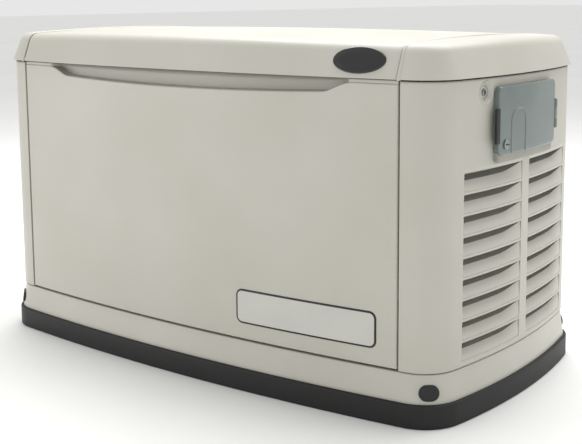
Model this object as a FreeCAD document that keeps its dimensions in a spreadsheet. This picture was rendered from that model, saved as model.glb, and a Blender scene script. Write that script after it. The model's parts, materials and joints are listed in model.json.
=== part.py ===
import FreeCAD, Part
import Sketcher
import math
import os

# Home standby generator: a sheet-metal and moulded enclosure on a flat pad, with its engine,
# alternator, exhaust, battery and controls inside.  Millimetres.  X runs along the front, +X to the
# right, -Y is the front, +Z is up, and the origin is the middle of the pad's underside.

SIZES = (
    # enclosure plan: bowed front and sides, flat rear, rounded corners
    ("half_length", 604.0), ("front_depth", 310.2), ("rear_depth", 310.2),
    ("front_bow", 39.1), ("side_bow", 39.3), ("side_half_chord", 320.4), ("side_apex_shift", 10.2),
    ("corner_radius", 76.4),
    # heights and walls of the enclosure
    ("pad_height", 45.0), ("pad_overhang", 12.4), ("pad_edge", 3.0),
    ("skirt_height", 54.0), ("skirt_flare", 5.8), ("skirt_inset", 2.0), ("floor_wall", 3.0),
    ("panel_wall", 2.0), ("panel_gap", 1.0), ("panel_top", 627.0), ("panel_flange", 16.0),
    ("door_set_in", 101.5), ("door_gap", 2.2), ("door_sill_gap", 4.0),
    ("scoop_half_width", 408.0), ("scoop_flat_half_width", 345.0), ("scoop_ramp_run", 50.0),
    ("scoop_ramp_step", 4.0),
    ("scoop_end_drop", 24.0), ("scoop_drop", 31.5), ("scoop_lip_drop", 6.0), ("scoop_depth", 22.0),
    ("nameplate_length", 317.0), ("nameplate_set_in", 42.5), ("nameplate_rise", 36.0),
    ("nameplate_width", 70.0), ("nameplate_wall", 1.6), ("nameplate_corner", 14.0),
    # lid
    ("lid_gap", 2.8), ("lid_overhang", 5.5), ("lid_rise", 61.2), ("lid_lean", 24.5),
    ("lid_band", 8.0), ("lid_band_lean", 10.0), ("lid_wall", 2.5), ("lid_crown", 11.0),
    ("crown_radius_front", 5200.0), ("crown_radius_side", 26000.0),
    ("lid_seam_set_in", 1.5), ("lid_seam_gap", 0.6), ("cap_proud", 1.0), ("cap_bead", 2.2),
    ("cap_bead_width", 6.0),
    ("badge_set_in", 81.0), ("badge_rise", 32.2), ("badge_length", 107.0), ("badge_width", 50.5),
    ("badge_wall", 5.0),
    # lifting holes in the skirt corners
    ("lift_turn", 50.0), ("lift_rise", 21.0), ("lift_width", 38.0), ("lift_tall", 30.0),
    ("lift_clearance", 0.3), ("plug_proud", 6.0), ("plug_depth", 9.0),
    # louvres
    ("louvre_rows", 9.0), ("louvre_drop", 172.2), ("louvre_pitch", 39.2), ("louvre_slot", 12.0),
    ("louvre_slat", 22.0), ("louvre_depth", 9.0), ("louvre_wall", 1.5), ("louvre_slot_rise", 5.0),
    ("louvre_column_width", 200.0), ("louvre_front_column", -97.8), ("louvre_rear_column", 132.7),
    ("louvre_reach", 90.0),
    # side locks
    ("lock_place", -134.8), ("lock_drop", 26.0), ("lock_dish_radius", 20.0), ("lock_dish_wall", 2.0),
    ("lock_rotor_radius", 11.0), ("lock_barrel_length", 24.0), ("lock_running_fit", 0.08),
    ("lock_cam_reach", 25.0), ("lock_cam_width", 10.0), ("lock_cam_wall", 2.5),
    # breaker compartment on the right side
    ("cover_front", -111.8), ("cover_rear", 128.2), ("cover_tall", 128.0), ("cover_drop", 17.0),
    ("cover_stand", 10.4), ("cover_wall", 2.2), ("cover_corner", 13.0), ("cover_skirt_gap", 1.2),
    ("cover_seat_gap", 0.8),
    ("bezel_margin", 8.0), ("bezel_drop", 13.0), ("bezel_stand", 10.0), ("bezel_rim", 9.0),
    ("hatch_depth", 75.0), ("hatch_wall", 2.0),
    ("arch_front", -68.8), ("arch_rear", -8.8), ("arch_tall", 89.0), ("arch_rib", 6.0),
    ("arch_proud", 1.2),
    ("hinge_set_out", 6.3), ("hinge_stand", 11.5), ("hinge_knuckle", 4.0), ("hinge_pin", 1.6),
    ("hinge_fit", 0.06), ("knuckle_rise", 30.0), ("knuckle_length", 18.0), ("knuckle_pitch", 39.0),
    ("tab_width", 10.0), ("tab_rise", 23.0), ("tab_tall", 66.0), ("tab_wall", 5.0),
    ("latch_set_in", 25.0), ("latch_rise", 20.0), ("latch_radius", 9.5), ("latch_shank", 3.0),
    ("latch_wing", 7.0),
    ("breaker_front", -40.0), ("breaker_rear", 50.0), ("breaker_rise", 23.0), ("breaker_tall", 80.0),
    ("breaker_depth", 42.0), ("handle_width", 12.0), ("handle_length", 22.0), ("handle_wall", 8.0),
    ("light_radius", 4.0), ("light_pitch", 16.0), ("light_place", 92.0),
    # lid hinges on the rear edge
    ("lid_hinge_set_in", 172.5), ("lid_hinge_out", 12.0), ("lid_hinge_radius", 6.0),
    ("lid_hinge_pin", 3.0), ("lid_hinge_length", 90.0), ("lid_hinge_wall", 2.5),
    ("lid_hinge_leaf", 34.0), ("lid_hinge_gap", 0.5),
    # engine, shaft axis and drive line
    ("shaft_rise", 149.0), ("shaft_radius", 17.0), ("bearing_fit", 0.05),
    ("rail_place", 110.0), ("rail_width", 30.0), ("rail_height", 26.0), ("rail_left", -330.0),
    ("rail_right", 250.0), ("rail_wall", 3.0),
    ("isolator_radius", 21.0), ("isolator_height", 27.0), ("isolator_inset", 50.0),
    ("case_left", -300.0), ("case_right", -60.0), ("case_half_width", 82.0), ("case_drop", 100.0),
    ("case_rise", 72.0), ("case_corner", 18.0), ("sump_height", 30.0), ("sump_inset", 20.0),
    ("foot_length", 40.0), ("foot_height", 16.0),
    ("barrel_turn", 45.0), ("barrel_radius", 42.0), ("fin_radius", 58.0), ("fin_wall", 2.5),
    ("fin_pitch", 9.0), ("fin_count", 7.0), ("barrel_length", 78.0),
    ("barrel_bore", 35.0), ("barrel_front_place", -235.0), ("barrel_rear_place", -125.0),
    ("head_length", 30.0), ("head_size", 106.0), ("rocker_length", 24.0), ("rocker_size", 84.0),
    ("rocker_corner", 12.0),
    ("plug_radius", 8.0), ("plug_length", 46.0),
    ("air_box_left", -262.0), ("air_box_right", -98.0), ("air_box_half_width", 72.0),
    ("air_box_rise", 224.0), ("air_box_tall", 58.0), ("air_box_wall", 2.5), ("air_cover_height", 30.0),
    ("air_corner", 14.0),
    ("manifold_radius", 13.0), ("mixer_radius", 26.0), ("mixer_wall", 4.0),
    ("filter_radius", 38.0), ("filter_length", 84.0), ("filter_place", -105.0), ("filter_drop", 43.0),
    ("dipstick_place", -160.0), ("dipstick_set_out", 10.0), ("dipstick_drop", 70.0),
    ("dipstick_tube", 7.0), ("dipstick_rod", 4.0), ("dipstick_rise", 102.0), ("dipstick_fit", 0.08),
    ("dipstick_handle", 15.0),
    ("fan_left", -384.0), ("fan_wall", 8.0), ("fan_radius", 104.0), ("fan_hub", 34.0),
    ("fan_blade", 24.0), ("fan_blade_wall", 3.0), ("fan_blades", 14.0),
    ("blower_clearance", 12.0), ("blower_wall", 2.0), ("blower_left", -398.0), ("blower_mouth", 74.0),
    ("starter_radius", 34.0), ("starter_length", 140.0), ("starter_left", -290.0),
    ("starter_place", 120.0), ("starter_drop", 40.0), ("solenoid_radius", 17.0),
    ("stator_left", -40.0), ("stator_length", 170.0), ("stator_radius", 112.0), ("stator_bore", 72.0),
    ("air_gap", 1.0), ("stator_fins", 12.0), ("stator_fin", 8.0), ("stator_fin_wall", 6.0),
    ("adapter_wall", 8.0), 
    ("rotor_inset", 14.0), ("bell_length", 34.0), ("bell_wall", 6.0), ("bell_vent", 12.0),
    # exhaust side
    ("divider_clearance", 20.0), ("divider_wall", 2.0), ("divider_margin", 60.2),
    ("divider_drop", 17.0),
    ("muffler_set_in", 104.0), ("muffler_rise", 50.0), ("muffler_radius", 68.0),
    ("muffler_length", 380.0), ("muffler_dome", 14.0), ("pipe_radius", 15.0), ("pipe_wall", 2.0),
    ("pipe_bend", 45.0), ("pipe_clearance", 6.0), ("tailpipe_drop", 82.0),
    # battery, controls and fuel train
    ("battery_left", 285.0), ("battery_length", 196.0), ("battery_set_in", 48.2),
    ("battery_width", 132.0), ("battery_height", 178.0), ("battery_rib", 8.0),
    ("tray_wall", 3.0), ("tray_lip", 14.0), ("terminal_radius", 9.0), ("terminal_height", 16.0),
    ("terminal_inset", 30.0), ("strap_width", 26.0), ("strap_wall", 2.0), ("battery_clearance", 1.0),
    ("control_left", 262.0), ("control_right", 486.0), ("control_set_in", 100.2),
    ("control_rear", -20.0), ("control_tall", 140.0), ("control_drop", 67.0), ("control_wall", 2.0),
    ("face_wall", 4.0), ("display_length", 84.0), ("display_width", 40.0), ("display_wall", 2.0),
    ("key_length", 15.0), ("key_width", 11.0), ("key_proud", 3.0), 
    ("key_clearance", 0.4), ("key_pitch", 26.0), ("key_depth", 3.4), ("key_lip", 1.2),
    ("rocker_switch_length", 26.0), ("rocker_switch_width", 16.0),
    ("fuse_radius", 8.0), ("fuse_height", 12.0),
    ("regulator_place", 330.0), ("regulator_back", 200.0), ("regulator_rise", 50.0),
    ("regulator_radius", 46.0), ("regulator_length", 40.0),
    ("inlet_rise", 102.0), ("inlet_radius", 13.3), ("inlet_bore", 10.4), ("inlet_proud", 30.0),
    ("inlet_nut", 22.0), ("hose_radius", 12.0),
    ("conduit_place", 450.0), ("conduit_rise", 132.0), ("conduit_bore", 14.0),
    ("conduit_collar", 19.0), ("conduit_length", 14.0), ("hole_clearance", 0.3),
    # small parts
    ("lock_dish_depth", 7.0), ("lock_rim", 1.2), ("lock_cam_gap", 0.6), ("lock_slot_depth", 4.0),
    ("lock_slot_width", 2.4), ("lock_slot_reach", 6.0), ("keeper_margin", 12.0), ("keeper_gap", 20.0),
    ("keeper_wall", 2.5), ("keeper_width", 15.0), ("keeper_drop", 27.0), ("keeper_window", 22.0),
    ("keeper_foot", 12.0), ("bezel_wall", 2.0), ("knuckle_gap", 0.6), ("latch_gap", 0.4),
    ("latch_head", 3.0), ("latch_wing_wall", 2.5), ("handle_axle", 2.5), ("handle_rest_turn", 22.0),
    ("light_proud", 6.0), ("case_deck", 92.0), ("manifold_rise", 167.0), ("runner_reach", 110.0),
    ("hose_place", 190.0), ("hose_rise", 150.0), ("lid_hinge_rise", 1.0), ("conduit_shoulder", 3.0),
    ("isolator_top_radius", 14.7), ("plug_boot_radius", 11.2), ("plug_boot_length", 15.3),
    ("air_rib_inset", 15.0), ("dipstick_cap_radius", 9.1), ("dipstick_grip_rise", 11.2),
    ("fan_blade_root", 64.5), ("blower_back_bore", 47.6), ("starter_nose", 20.4), ("starter_pinion", 11.9),
    ("solenoid_rise", 47.6), ("adapter_vent_place", 67.2), ("adapter_vent_radius", 18.2),
    ("adapter_vents", 6.0), ("bell_vent_place", 69.4), ("bell_vents", 8.0), ("fin_root", 2.0),
    ("saddle_rise", 67.2), ("dome_radius", 40.8), ("dome_edge", 11.2), ("outlet_wall", 3.0),
    ("post_drop", 34.0), ("rim_low", 24.0), ("rim_wall", 8.0), ("drive_hole_radius", 134.4),
    ("hose_hole_radius", 19.2), ("key_inset", 39.0), ("switch_inset", 52.0), ("fuse_foot_radius", 10.4),
    ("diaphragm_neck", 32.2), ("diaphragm_cap", 23.0), ("handle_barrel", 7.0),
)

ROUND_SHARE = 0.45

doc = FreeCAD.newDocument("standby_generator")
sheet = doc.addObject("Spreadsheet::Sheet", "Sizes")


class Size:
    """A length: its value now, and the sheet expression that gives it."""

    def __init__(self, value, text):
        self.value = float(value)
        self.text = text

    def join(self, other, sign, value):
        return Size(value, "(%s %s %s)" % (self.text, sign, other.text))

    def __add__(self, other):
        other = as_size(other)
        return self.join(other, "+", self.value + other.value)

    def __sub__(self, other):
        other = as_size(other)
        return self.join(other, "-", self.value - other.value)

    def __mul__(self, other):
        other = as_size(other)
        return self.join(other, "*", self.value * other.value)

    def __truediv__(self, other):
        other = as_size(other)
        return self.join(other, "/", self.value / other.value)

    def __radd__(self, other):
        return as_size(other) + self

    def __rsub__(self, other):
        return as_size(other) - self

    def __rmul__(self, other):
        return as_size(other) * self

    def __neg__(self):
        return as_size(0) - self


def as_size(number):
    return number if isinstance(number, Size) else Size(number, repr(float(number)))


def root(size):
    return Size(math.sqrt(size.value), "sqrt(%s)" % size.text)


def sine(size):
    return Size(math.sin(math.radians(size.value)), "sin(%s * 1deg)" % size.text)


def cosine(size):
    return Size(math.cos(math.radians(size.value)), "cos(%s * 1deg)" % size.text)


class Cells:
    """The driving dimensions by name, and the heights and places worked out from them."""


c = Cells()
for row, (alias, number) in enumerate(SIZES, start=1):
    sheet.set("A%d" % row, alias)
    sheet.set("B%d" % row, repr(number))
    sheet.setAlias("B%d" % row, alias)
    setattr(c, alias, Size(number, "Sizes." + alias))
doc.recompute()

# heights and places of what stands on, hangs from or lines up with another piece
c.skirt_top = c.pad_height + c.skirt_height
c.lift_height = c.pad_height + c.lift_rise
c.floor_top = c.pad_height + c.floor_wall
c.panel_base = c.skirt_top + c.panel_gap
c.door_base = c.skirt_top + c.door_sill_gap
c.nameplate_low = c.skirt_top + c.nameplate_rise
c.nameplate_high = c.nameplate_low + c.nameplate_width
c.door_half_width = c.half_length - c.door_set_in
c.nameplate_right = c.door_half_width - c.nameplate_set_in
c.nameplate_left = c.nameplate_right - c.nameplate_length
c.scoop_lip = c.panel_top - c.scoop_lip_drop
c.scoop_end_height = c.panel_top - c.scoop_end_drop
c.scoop_low = c.panel_top - c.scoop_drop
c.lid_base = c.panel_top + c.lid_gap
c.lid_edge = c.lid_base + c.lid_rise
c.lid_height = c.lid_edge + c.lid_crown
c.lid_seam = c.door_half_width - c.lid_seam_set_in
c.badge_place = c.lid_seam - c.badge_set_in
c.badge_height = c.lid_base + c.badge_rise
c.lid_hinge_place = c.door_half_width - c.lid_hinge_set_in
c.louvre_top_slot = c.panel_top - c.louvre_drop
c.lock_height = c.panel_top - c.lock_drop
c.cover_high = c.panel_top - c.cover_drop
c.cover_low = c.cover_high - c.cover_tall
c.arch_high = c.cover_low + c.arch_tall
c.knuckle_low = c.cover_low + c.knuckle_rise
c.hinge_place = c.cover_rear + c.hinge_set_out
c.tab_front = c.cover_front - c.tab_width
c.tab_low = c.cover_low + c.tab_rise
c.tab_high = c.tab_low + c.tab_tall
c.latch_place = c.cover_front + c.latch_set_in
c.latch_height = c.cover_low + c.latch_rise
c.breaker_low = c.cover_low + c.breaker_rise
c.breaker_high = c.breaker_low + c.breaker_tall
c.rail_low = c.floor_top + c.isolator_height
c.rail_top = c.rail_low + c.rail_height
c.shaft_height = c.rail_top + c.shaft_rise
c.case_low = c.shaft_height - c.case_drop
c.case_high = c.shaft_height + c.case_rise
c.manifold_height = c.shaft_height + c.manifold_rise
c.air_box_low = c.shaft_height + c.air_box_rise
c.air_box_high = c.air_box_low + c.air_box_tall
c.filter_height = c.shaft_height - c.filter_drop
c.dipstick_low = c.shaft_height - c.dipstick_drop
c.dipstick_high = c.shaft_height + c.dipstick_rise
c.starter_height = c.shaft_height - c.starter_drop
c.hose_height = c.shaft_height + c.hose_rise
c.muffler_height = c.shaft_height + c.muffler_rise
c.divider_high = c.panel_top - c.divider_drop
c.divider_half_width = c.front_depth - c.divider_margin
c.control_high = c.panel_top - c.control_drop
c.control_low = c.control_high - c.control_tall
c.inlet_height = c.floor_top + c.inlet_rise
c.regulator_height = c.inlet_height + c.regulator_rise
c.conduit_height = c.floor_top + c.conduit_rise
c.dipstick_out = -(c.case_half_width + c.dipstick_set_out)
c.muffler_place = c.muffler_set_in - c.half_length
c.divider_place = c.muffler_place + c.muffler_radius + c.divider_clearance
c.battery_front = c.battery_set_in - c.front_depth
c.control_front = c.control_set_in - c.front_depth

CUT_THROUGH = 40.0
NODES = []
TURN = {"X": FreeCAD.Rotation(FreeCAD.Vector(0, 1, 0), 90),
        "Y": FreeCAD.Rotation(FreeCAD.Vector(1, 0, 0), -90),
        "Z": FreeCAD.Rotation()}


# ---------------------------------------------------------------- building blocks

def bind(thing, prop, size):
    size = as_size(size)
    thing.setExpression(prop, size.text)


def locate(thing, x, y, z, rotation=None):
    """Place a piece, with its position bound to the sheet."""
    x, y, z = as_size(x), as_size(y), as_size(z)
    place = FreeCAD.Placement(FreeCAD.Vector(x.value, y.value, z.value), rotation or FreeCAD.Rotation())
    thing.Placement = place
    bind(thing, "Placement.Base.x", x)
    bind(thing, "Placement.Base.y", y)
    bind(thing, "Placement.Base.z", z)
    return thing


def box(x0, x1, y0, y1, z0, z1):
    made = doc.addObject("Part::Box", "block")
    bind(made, "Length", as_size(x1) - x0)
    bind(made, "Width", as_size(y1) - y0)
    bind(made, "Height", as_size(z1) - z0)
    return locate(made, x0, y0, z0)


def rod(axis, x, y, z, radius, length):
    """A cylinder that starts at a point and runs along +X, +Y or +Z."""
    made = doc.addObject("Part::Cylinder", "rod")
    bind(made, "Radius", radius)
    bind(made, "Height", length)
    return locate(made, x, y, z, TURN[axis])


def taper(axis, x, y, z, radius, far_radius, length):
    made = doc.addObject("Part::Cone", "taper")
    bind(made, "Radius1", radius)
    bind(made, "Radius2", far_radius)
    bind(made, "Height", length)
    return locate(made, x, y, z, TURN[axis])


def fuse(*pieces):
    """Join pieces; a single piece is wrapped, so that it can be placed again."""
    if len(pieces) == 1:
        made = doc.addObject("Part::Compound", "carrier")
        made.Links = list(pieces)
        return made
    made = doc.addObject("Part::MultiFuse", "union")
    made.Shapes = list(pieces)
    made.Refine = True
    return made


def common(*pieces):
    made = doc.addObject("Part::MultiCommon", "overlap")
    made.Shapes = list(pieces)
    return made


def group(*pieces):
    """Separate solids that share one node."""
    made = doc.addObject("Part::Compound", "group")
    made.Links = list(pieces)
    return made


def cut(base, *tools):
    made = doc.addObject("Part::Cut", "difference")
    made.Base = base
    made.Tool = tools[0] if len(tools) == 1 else fuse(*tools)
    return made


def tube(axis, x, y, z, outer, inner, length):
    return cut(rod(axis, x, y, z, outer, length), rod(axis, x, y, z, inner, length))


def round_edges(base, radius, wanted):
    """Round the edges of a solid that 'wanted' picks."""
    doc.recompute()
    made = doc.addObject("Part::Fillet", "rounding")
    made.Base = base
    size = as_size(radius).value
    made.Edges = [(i, size, size) for i, edge in enumerate(base.Shape.Edges, start=1) if wanted(edge)]
    return made


def runs_along(axis):
    """Pick straight edges that run along X, Y or Z."""
    def wanted(edge):
        box_ = edge.BoundBox
        spans = {"X": box_.XLength, "Y": box_.YLength, "Z": box_.ZLength}
        own = spans.pop(axis)
        return own > 1.0 and max(spans.values()) < 0.01
    return wanted


def rounded_box(x0, x1, y0, y1, z0, z1, radius, axis):
    return round_edges(box(x0, x1, y0, y1, z0, z1), radius, runs_along(axis))


def origin_plane(body, role):
    return [item for item in body.Origin.OriginFeatures if item.Role == role][0]


def profile_sketch(body, role, points):
    """A closed outline of straight sides whose corners are bound to the sheet."""
    sketch = body.newObject("Sketcher::SketchObject", "outline")
    sketch.AttachmentSupport = [(origin_plane(body, role), "")]
    sketch.MapMode = "FlatFace"
    corners = [(as_size(x), as_size(y)) for x, y in points]
    count = len(corners)
    for i in range(count):
        here, there = corners[i], corners[(i + 1) % count]
        start = FreeCAD.Vector(here[0].value, here[1].value, 0)
        end = FreeCAD.Vector(there[0].value, there[1].value, 0)
        sketch.addGeometry(Part.LineSegment(start, end), False)
    for i in range(count):
        sketch.addConstraint(Sketcher.Constraint("Coincident", i, 2, (i + 1) % count, 1))
    for i, (x, y) in enumerate(corners):
        for kind, size in (("DistanceX", x), ("DistanceY", y)):
            index = sketch.addConstraint(Sketcher.Constraint(kind, -1, 1, i, 1, size.value))
            sketch.setExpression("Constraints[%d]" % index, size.text)
    return sketch


def turned(points, x, y, z, axis="Z"):
    """A turned piece: a closed (radius, height) profile revolved about its own axis."""
    body = doc.addObject("PartDesign::Body", "turned")
    sketch = profile_sketch(body, "XZ_Plane", points)
    feature = body.newObject("PartDesign::Revolution", "revolution")
    feature.Profile = sketch
    feature.ReferenceAxis = (sketch, ["V_Axis"])
    feature.Angle = 360.0
    return locate(body, x, y, z, TURN[axis])


def plate(points, role, thickness, x, y, z):
    """A flat piece: a closed outline padded by its thickness."""
    body = doc.addObject("PartDesign::Body", "plate")
    sketch = profile_sketch(body, role, points)
    feature = body.newObject("PartDesign::Pad", "pad")
    feature.Profile = sketch
    bind(feature, "Length", thickness)
    return locate(body, x, y, z)


def node(label, piece):
    """Name a finished piece; its label is also its file's name."""
    piece.Label = label
    NODES.append(piece)
    return piece


# ---------------------------------------------------------------- enclosure outline

front_radius = (c.half_length * c.half_length + c.front_bow * c.front_bow) / (2 * c.front_bow)
side_radius = (c.side_half_chord * c.side_half_chord + c.side_bow * c.side_bow) / (2 * c.side_bow)
front_centre = front_radius - c.front_depth
side_centre = c.half_length - side_radius


def corner_centre(side_x, side_y, front_x, front_y):
    """Centre of the round that touches both bowed walls from inside."""
    near, far = front_radius - c.corner_radius, side_radius - c.corner_radius
    run_x, run_y = side_x - front_x, side_y - front_y
    apart = root(run_x * run_x + run_y * run_y)
    along = (near * near - far * far + apart * apart) / (2 * apart)
    across = root(near * near - along * along)
    x = front_x + (run_x * along - run_y * across) / apart
    y = front_y + (run_y * along + run_x * across) / apart
    return x, y


front_corner_x, front_corner_y = corner_centre(side_centre, c.side_apex_shift, as_size(0), front_centre)
rear_corner_y = c.rear_depth - c.corner_radius
rear_corner_rise = rear_corner_y - c.side_apex_shift
rear_corner_x = side_centre + root((side_radius - c.corner_radius) * (side_radius - c.corner_radius)
                                   - rear_corner_rise * rear_corner_rise)


def heading(x, y):
    return math.degrees(math.atan2(as_size(y).value, as_size(x).value))


def touch_point(centre_x, centre_y, from_x, from_y, far_radius, offset):
    """Where a corner round, grown by 'offset', touches the bowed wall about (from_x, from_y)."""
    share = (c.corner_radius + offset) / (far_radius - c.corner_radius)
    return centre_x + (centre_x - from_x) * share, centre_y + (centre_y - from_y) * share


def plan_arcs(offset):
    """The plan's runs, anticlockwise from its left front: start, radius and centre; a flat run has none."""
    corner = c.corner_radius + offset
    front = (front_radius + offset, 0, front_centre)
    side = side_radius + offset
    side_middle = (side_centre, c.side_apex_shift, side_radius)
    first = touch_point(front_corner_x, front_corner_y, as_size(0), front_centre, front_radius, offset)
    second = touch_point(front_corner_x, front_corner_y, *side_middle, offset)
    third = touch_point(rear_corner_x, rear_corner_y, *side_middle, offset)
    rear = c.rear_depth + offset
    return (((-first[0], first[1]), *front),
            (first, corner, front_corner_x, front_corner_y),
            (second, side, side_centre, c.side_apex_shift),
            (third, corner, rear_corner_x, rear_corner_y),
            ((rear_corner_x, rear), None, None, None),
            ((-rear_corner_x, rear), corner, -rear_corner_x, rear_corner_y),
            ((-third[0], third[1]), side, -side_centre, c.side_apex_shift),
            ((-second[0], second[1]), corner, -front_corner_x, front_corner_y))


def plan_sketch(offset, height):
    """The enclosure's plan, 'offset' outside its panels, drawn as tangent arcs at a height."""
    sketch = doc.addObject("Sketcher::SketchObject", "plan")
    runs = plan_arcs(as_size(offset))
    for i, (start, radius, x, y) in enumerate(runs):
        stop = runs[(i + 1) % len(runs)][0]
        if radius is None:
            ends = [FreeCAD.Vector(point[0].value, point[1].value, 0) for point in (start, stop)]
            sketch.addGeometry(Part.LineSegment(*ends), False)
            continue
        x, y = as_size(x), as_size(y)
        begin, end = [math.radians(heading(point[0] - x, point[1] - y)) for point in (start, stop)]
        middle = FreeCAD.Vector(x.value, y.value, 0)
        round_run = Part.Circle(middle, FreeCAD.Vector(0, 0, 1), radius.value)
        sketch.addGeometry(Part.ArcOfCircle(round_run, begin, end), False)
    count = len(runs)
    joints = [Sketcher.Constraint("Coincident", i, 2, (i + 1) % count, 1) for i in range(count)]
    bound = []
    for i, (start, radius, x, y) in enumerate(runs):
        bound.append((Sketcher.Constraint("DistanceX", -1, 1, i, 1, start[0].value), start[0]))
        bound.append((Sketcher.Constraint("DistanceY", -1, 1, i, 1, start[1].value), start[1]))
        if radius is not None:
            bound.append((Sketcher.Constraint("Radius", i, radius.value), radius))
    sketch.addConstraint(joints + [limit for limit, size in bound])
    for index, (limit, size) in enumerate(bound, start=len(joints)):
        sketch.setExpression("Constraints[%d]" % index, size.text)
    return locate(sketch, 0, 0, height)


def rear_wall(offset, low, high, lean):
    """Everything in front of the flat rear wall, whose top is drawn in by 'lean'."""
    reach = c.half_length * 2
    made = doc.addObject("Part::Wedge", "rear")
    for prop, size in (("Xmin", -reach), ("X2min", -reach), ("Xmax", reach), ("X2max", reach),
                       ("Ymin", 0), ("Ymax", as_size(high) - low),
                       ("Zmin", -(c.rear_depth + offset)), ("Z2min", lean - c.rear_depth - offset),
                       ("Zmax", reach), ("Z2max", reach)):
        setattr(made, prop, as_size(size).value)
        bind(made, prop, size)
    return locate(made, 0, 0, low, FreeCAD.Rotation(FreeCAD.Vector(1, 0, 0), 90))


def outline(offset, low, high, lean=0):
    """The enclosure's plan, 'offset' outside its panels, its top drawn in by 'lean'."""
    made = doc.addObject("Part::Loft", "outline")
    made.Sections = [plan_sketch(offset, low), plan_sketch(as_size(offset) - lean, high)]
    made.Solid = True
    made.Ruled = True
    return made


def shell(offset, low, high, wall, lean=0):
    return cut(outline(offset, low, high, lean), outline(as_size(offset) - wall, low, high, lean))


# ---------------------------------------------------------------- pad and base

def make_pad():
    shoulder = c.pad_height - c.pad_edge
    lower = outline(c.pad_overhang, 0, shoulder)
    edge = outline(c.pad_overhang, shoulder, c.pad_height, c.pad_edge)
    node("mounting_pad", fuse(lower, edge))


def corner_spots():
    """Place and outward turn of the four lifting holes, on the rounded corners."""
    spots = []
    for side in (1, -1):
        for end, x, y in ((-1, front_corner_x, front_corner_y), (1, rear_corner_x, rear_corner_y)):
            out_x = side * (x + c.corner_radius * cosine(c.lift_turn))
            out_y = y + end * c.corner_radius * sine(c.lift_turn)
            bearing = end * c.lift_turn.value
            spots.append((out_x, out_y, bearing if side > 0 else 180 - bearing))
    return spots


def oval(width, tall, start, length):
    """An upright oval bar along +X."""
    radius = tall / 2
    offset = (width - tall) / 2
    ends = [rod("X", start, side * offset, 0, radius, length) for side in (1, -1)]
    middle = box(start, start + length, -offset, offset, -radius, radius)
    return fuse(middle, *ends)


def make_base():
    lean = c.skirt_flare + c.skirt_inset
    outer = outline(c.skirt_flare, c.pad_height, c.skirt_top, lean)
    slope = lean / (c.skirt_top - c.pad_height)
    inner = outline(c.skirt_flare - c.panel_wall - slope * c.floor_wall, c.floor_top,
                    c.skirt_top, slope * (c.skirt_top - c.pad_height - c.floor_wall))
    clear = 2 * c.lift_clearance
    reach = as_size(CUT_THROUGH)
    holes = []
    plugs = []
    for x, y, turn in corner_spots():
        rotation = FreeCAD.Rotation(FreeCAD.Vector(0, 0, 1), turn)
        hole = oval(c.lift_width + clear, c.lift_tall + clear, -reach, 2 * reach)
        holes.append(locate(hole, x, y, c.lift_height, rotation))
        plug = oval(c.lift_width, c.lift_tall, -c.plug_depth, c.plug_depth + c.plug_proud)
        plugs.append(locate(plug, x, y, c.lift_height, rotation))
    node("base_pan", cut(outer, inner, *holes))
    node("lifting_hole_plugs", fuse(*plugs))


# ---------------------------------------------------------------- front door

def scoop_region(inset, depth):
    """The finger recess along the door's top: a shallow arc between two flared ends."""
    flat, wide = c.scoop_flat_half_width - inset, c.scoop_half_width - inset
    ramp = flat + c.scoop_ramp_run
    low, end_height = c.scoop_low + inset, c.scoop_end_height + inset
    top = c.panel_top + CUT_THROUGH
    right = [(flat, end_height), (flat + c.scoop_ramp_run / 2, end_height + c.scoop_ramp_step),
             (ramp, c.scoop_lip - c.scoop_ramp_step), (wide, c.scoop_lip), (wide, top)]
    left = [(-x, y) for x, y in reversed(right)]
    front = -c.front_depth + depth
    reach = c.front_bow * 2 + c.scoop_depth
    ends = plate(right + left, "XZ_Plane", reach, 0, front, 0)
    drop = c.scoop_end_height - c.scoop_low
    radius = (c.scoop_flat_half_width * c.scoop_flat_half_width + drop * drop) / (2 * drop) - inset
    sag = common(rod("Y", 0, front - reach, c.scoop_low + radius + inset, radius, reach),
                 box(-flat, flat, front - reach, front, low, end_height))
    return fuse(ends, sag)


def make_door():
    half = c.door_half_width - c.door_gap
    skin = shell(0, c.door_base, c.panel_top, c.panel_wall)
    front = box(-half, half, -c.half_length, -c.front_depth / 2, c.door_base, c.panel_top)
    edge_depth = c.front_depth - c.front_bow - c.panel_flange
    flanges = []
    for side in (1, -1):
        inner = side * (half - c.panel_wall)
        outer = side * half
        low, high = (inner, outer) if side > 0 else (outer, inner)
        flanges.append(box(low, high, -c.front_depth, -edge_depth, c.door_base, c.panel_top))
    body = outline(-c.panel_wall / 2, c.door_base, c.panel_top)
    returns = common(fuse(*flanges), body)
    scoop = scoop_region(0, c.scoop_depth)
    trough = cut(scoop_region(-c.panel_wall, c.scoop_depth + c.panel_wall), scoop)
    roof_cut = box(-c.half_length, c.half_length, -c.half_length, 0, c.panel_top,
                   c.panel_top + 2 * CUT_THROUGH)
    pocket = common(cut(trough, roof_cut), outline(0, c.door_base, c.panel_top))
    opened = cut(common(skin, front), scoop)
    node("front_door", fuse(opened, returns, pocket))


def make_nameplate():
    band = shell(c.nameplate_wall + c.lift_clearance, c.nameplate_low, c.nameplate_high, c.nameplate_wall)
    block = rounded_box(c.nameplate_left, c.nameplate_right, -c.half_length, -c.front_depth / 2,
                        c.nameplate_low, c.nameplate_high, c.nameplate_corner, "Y")
    node("door_nameplate", common(band, block))


# ---------------------------------------------------------------- side and rear panels

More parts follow.
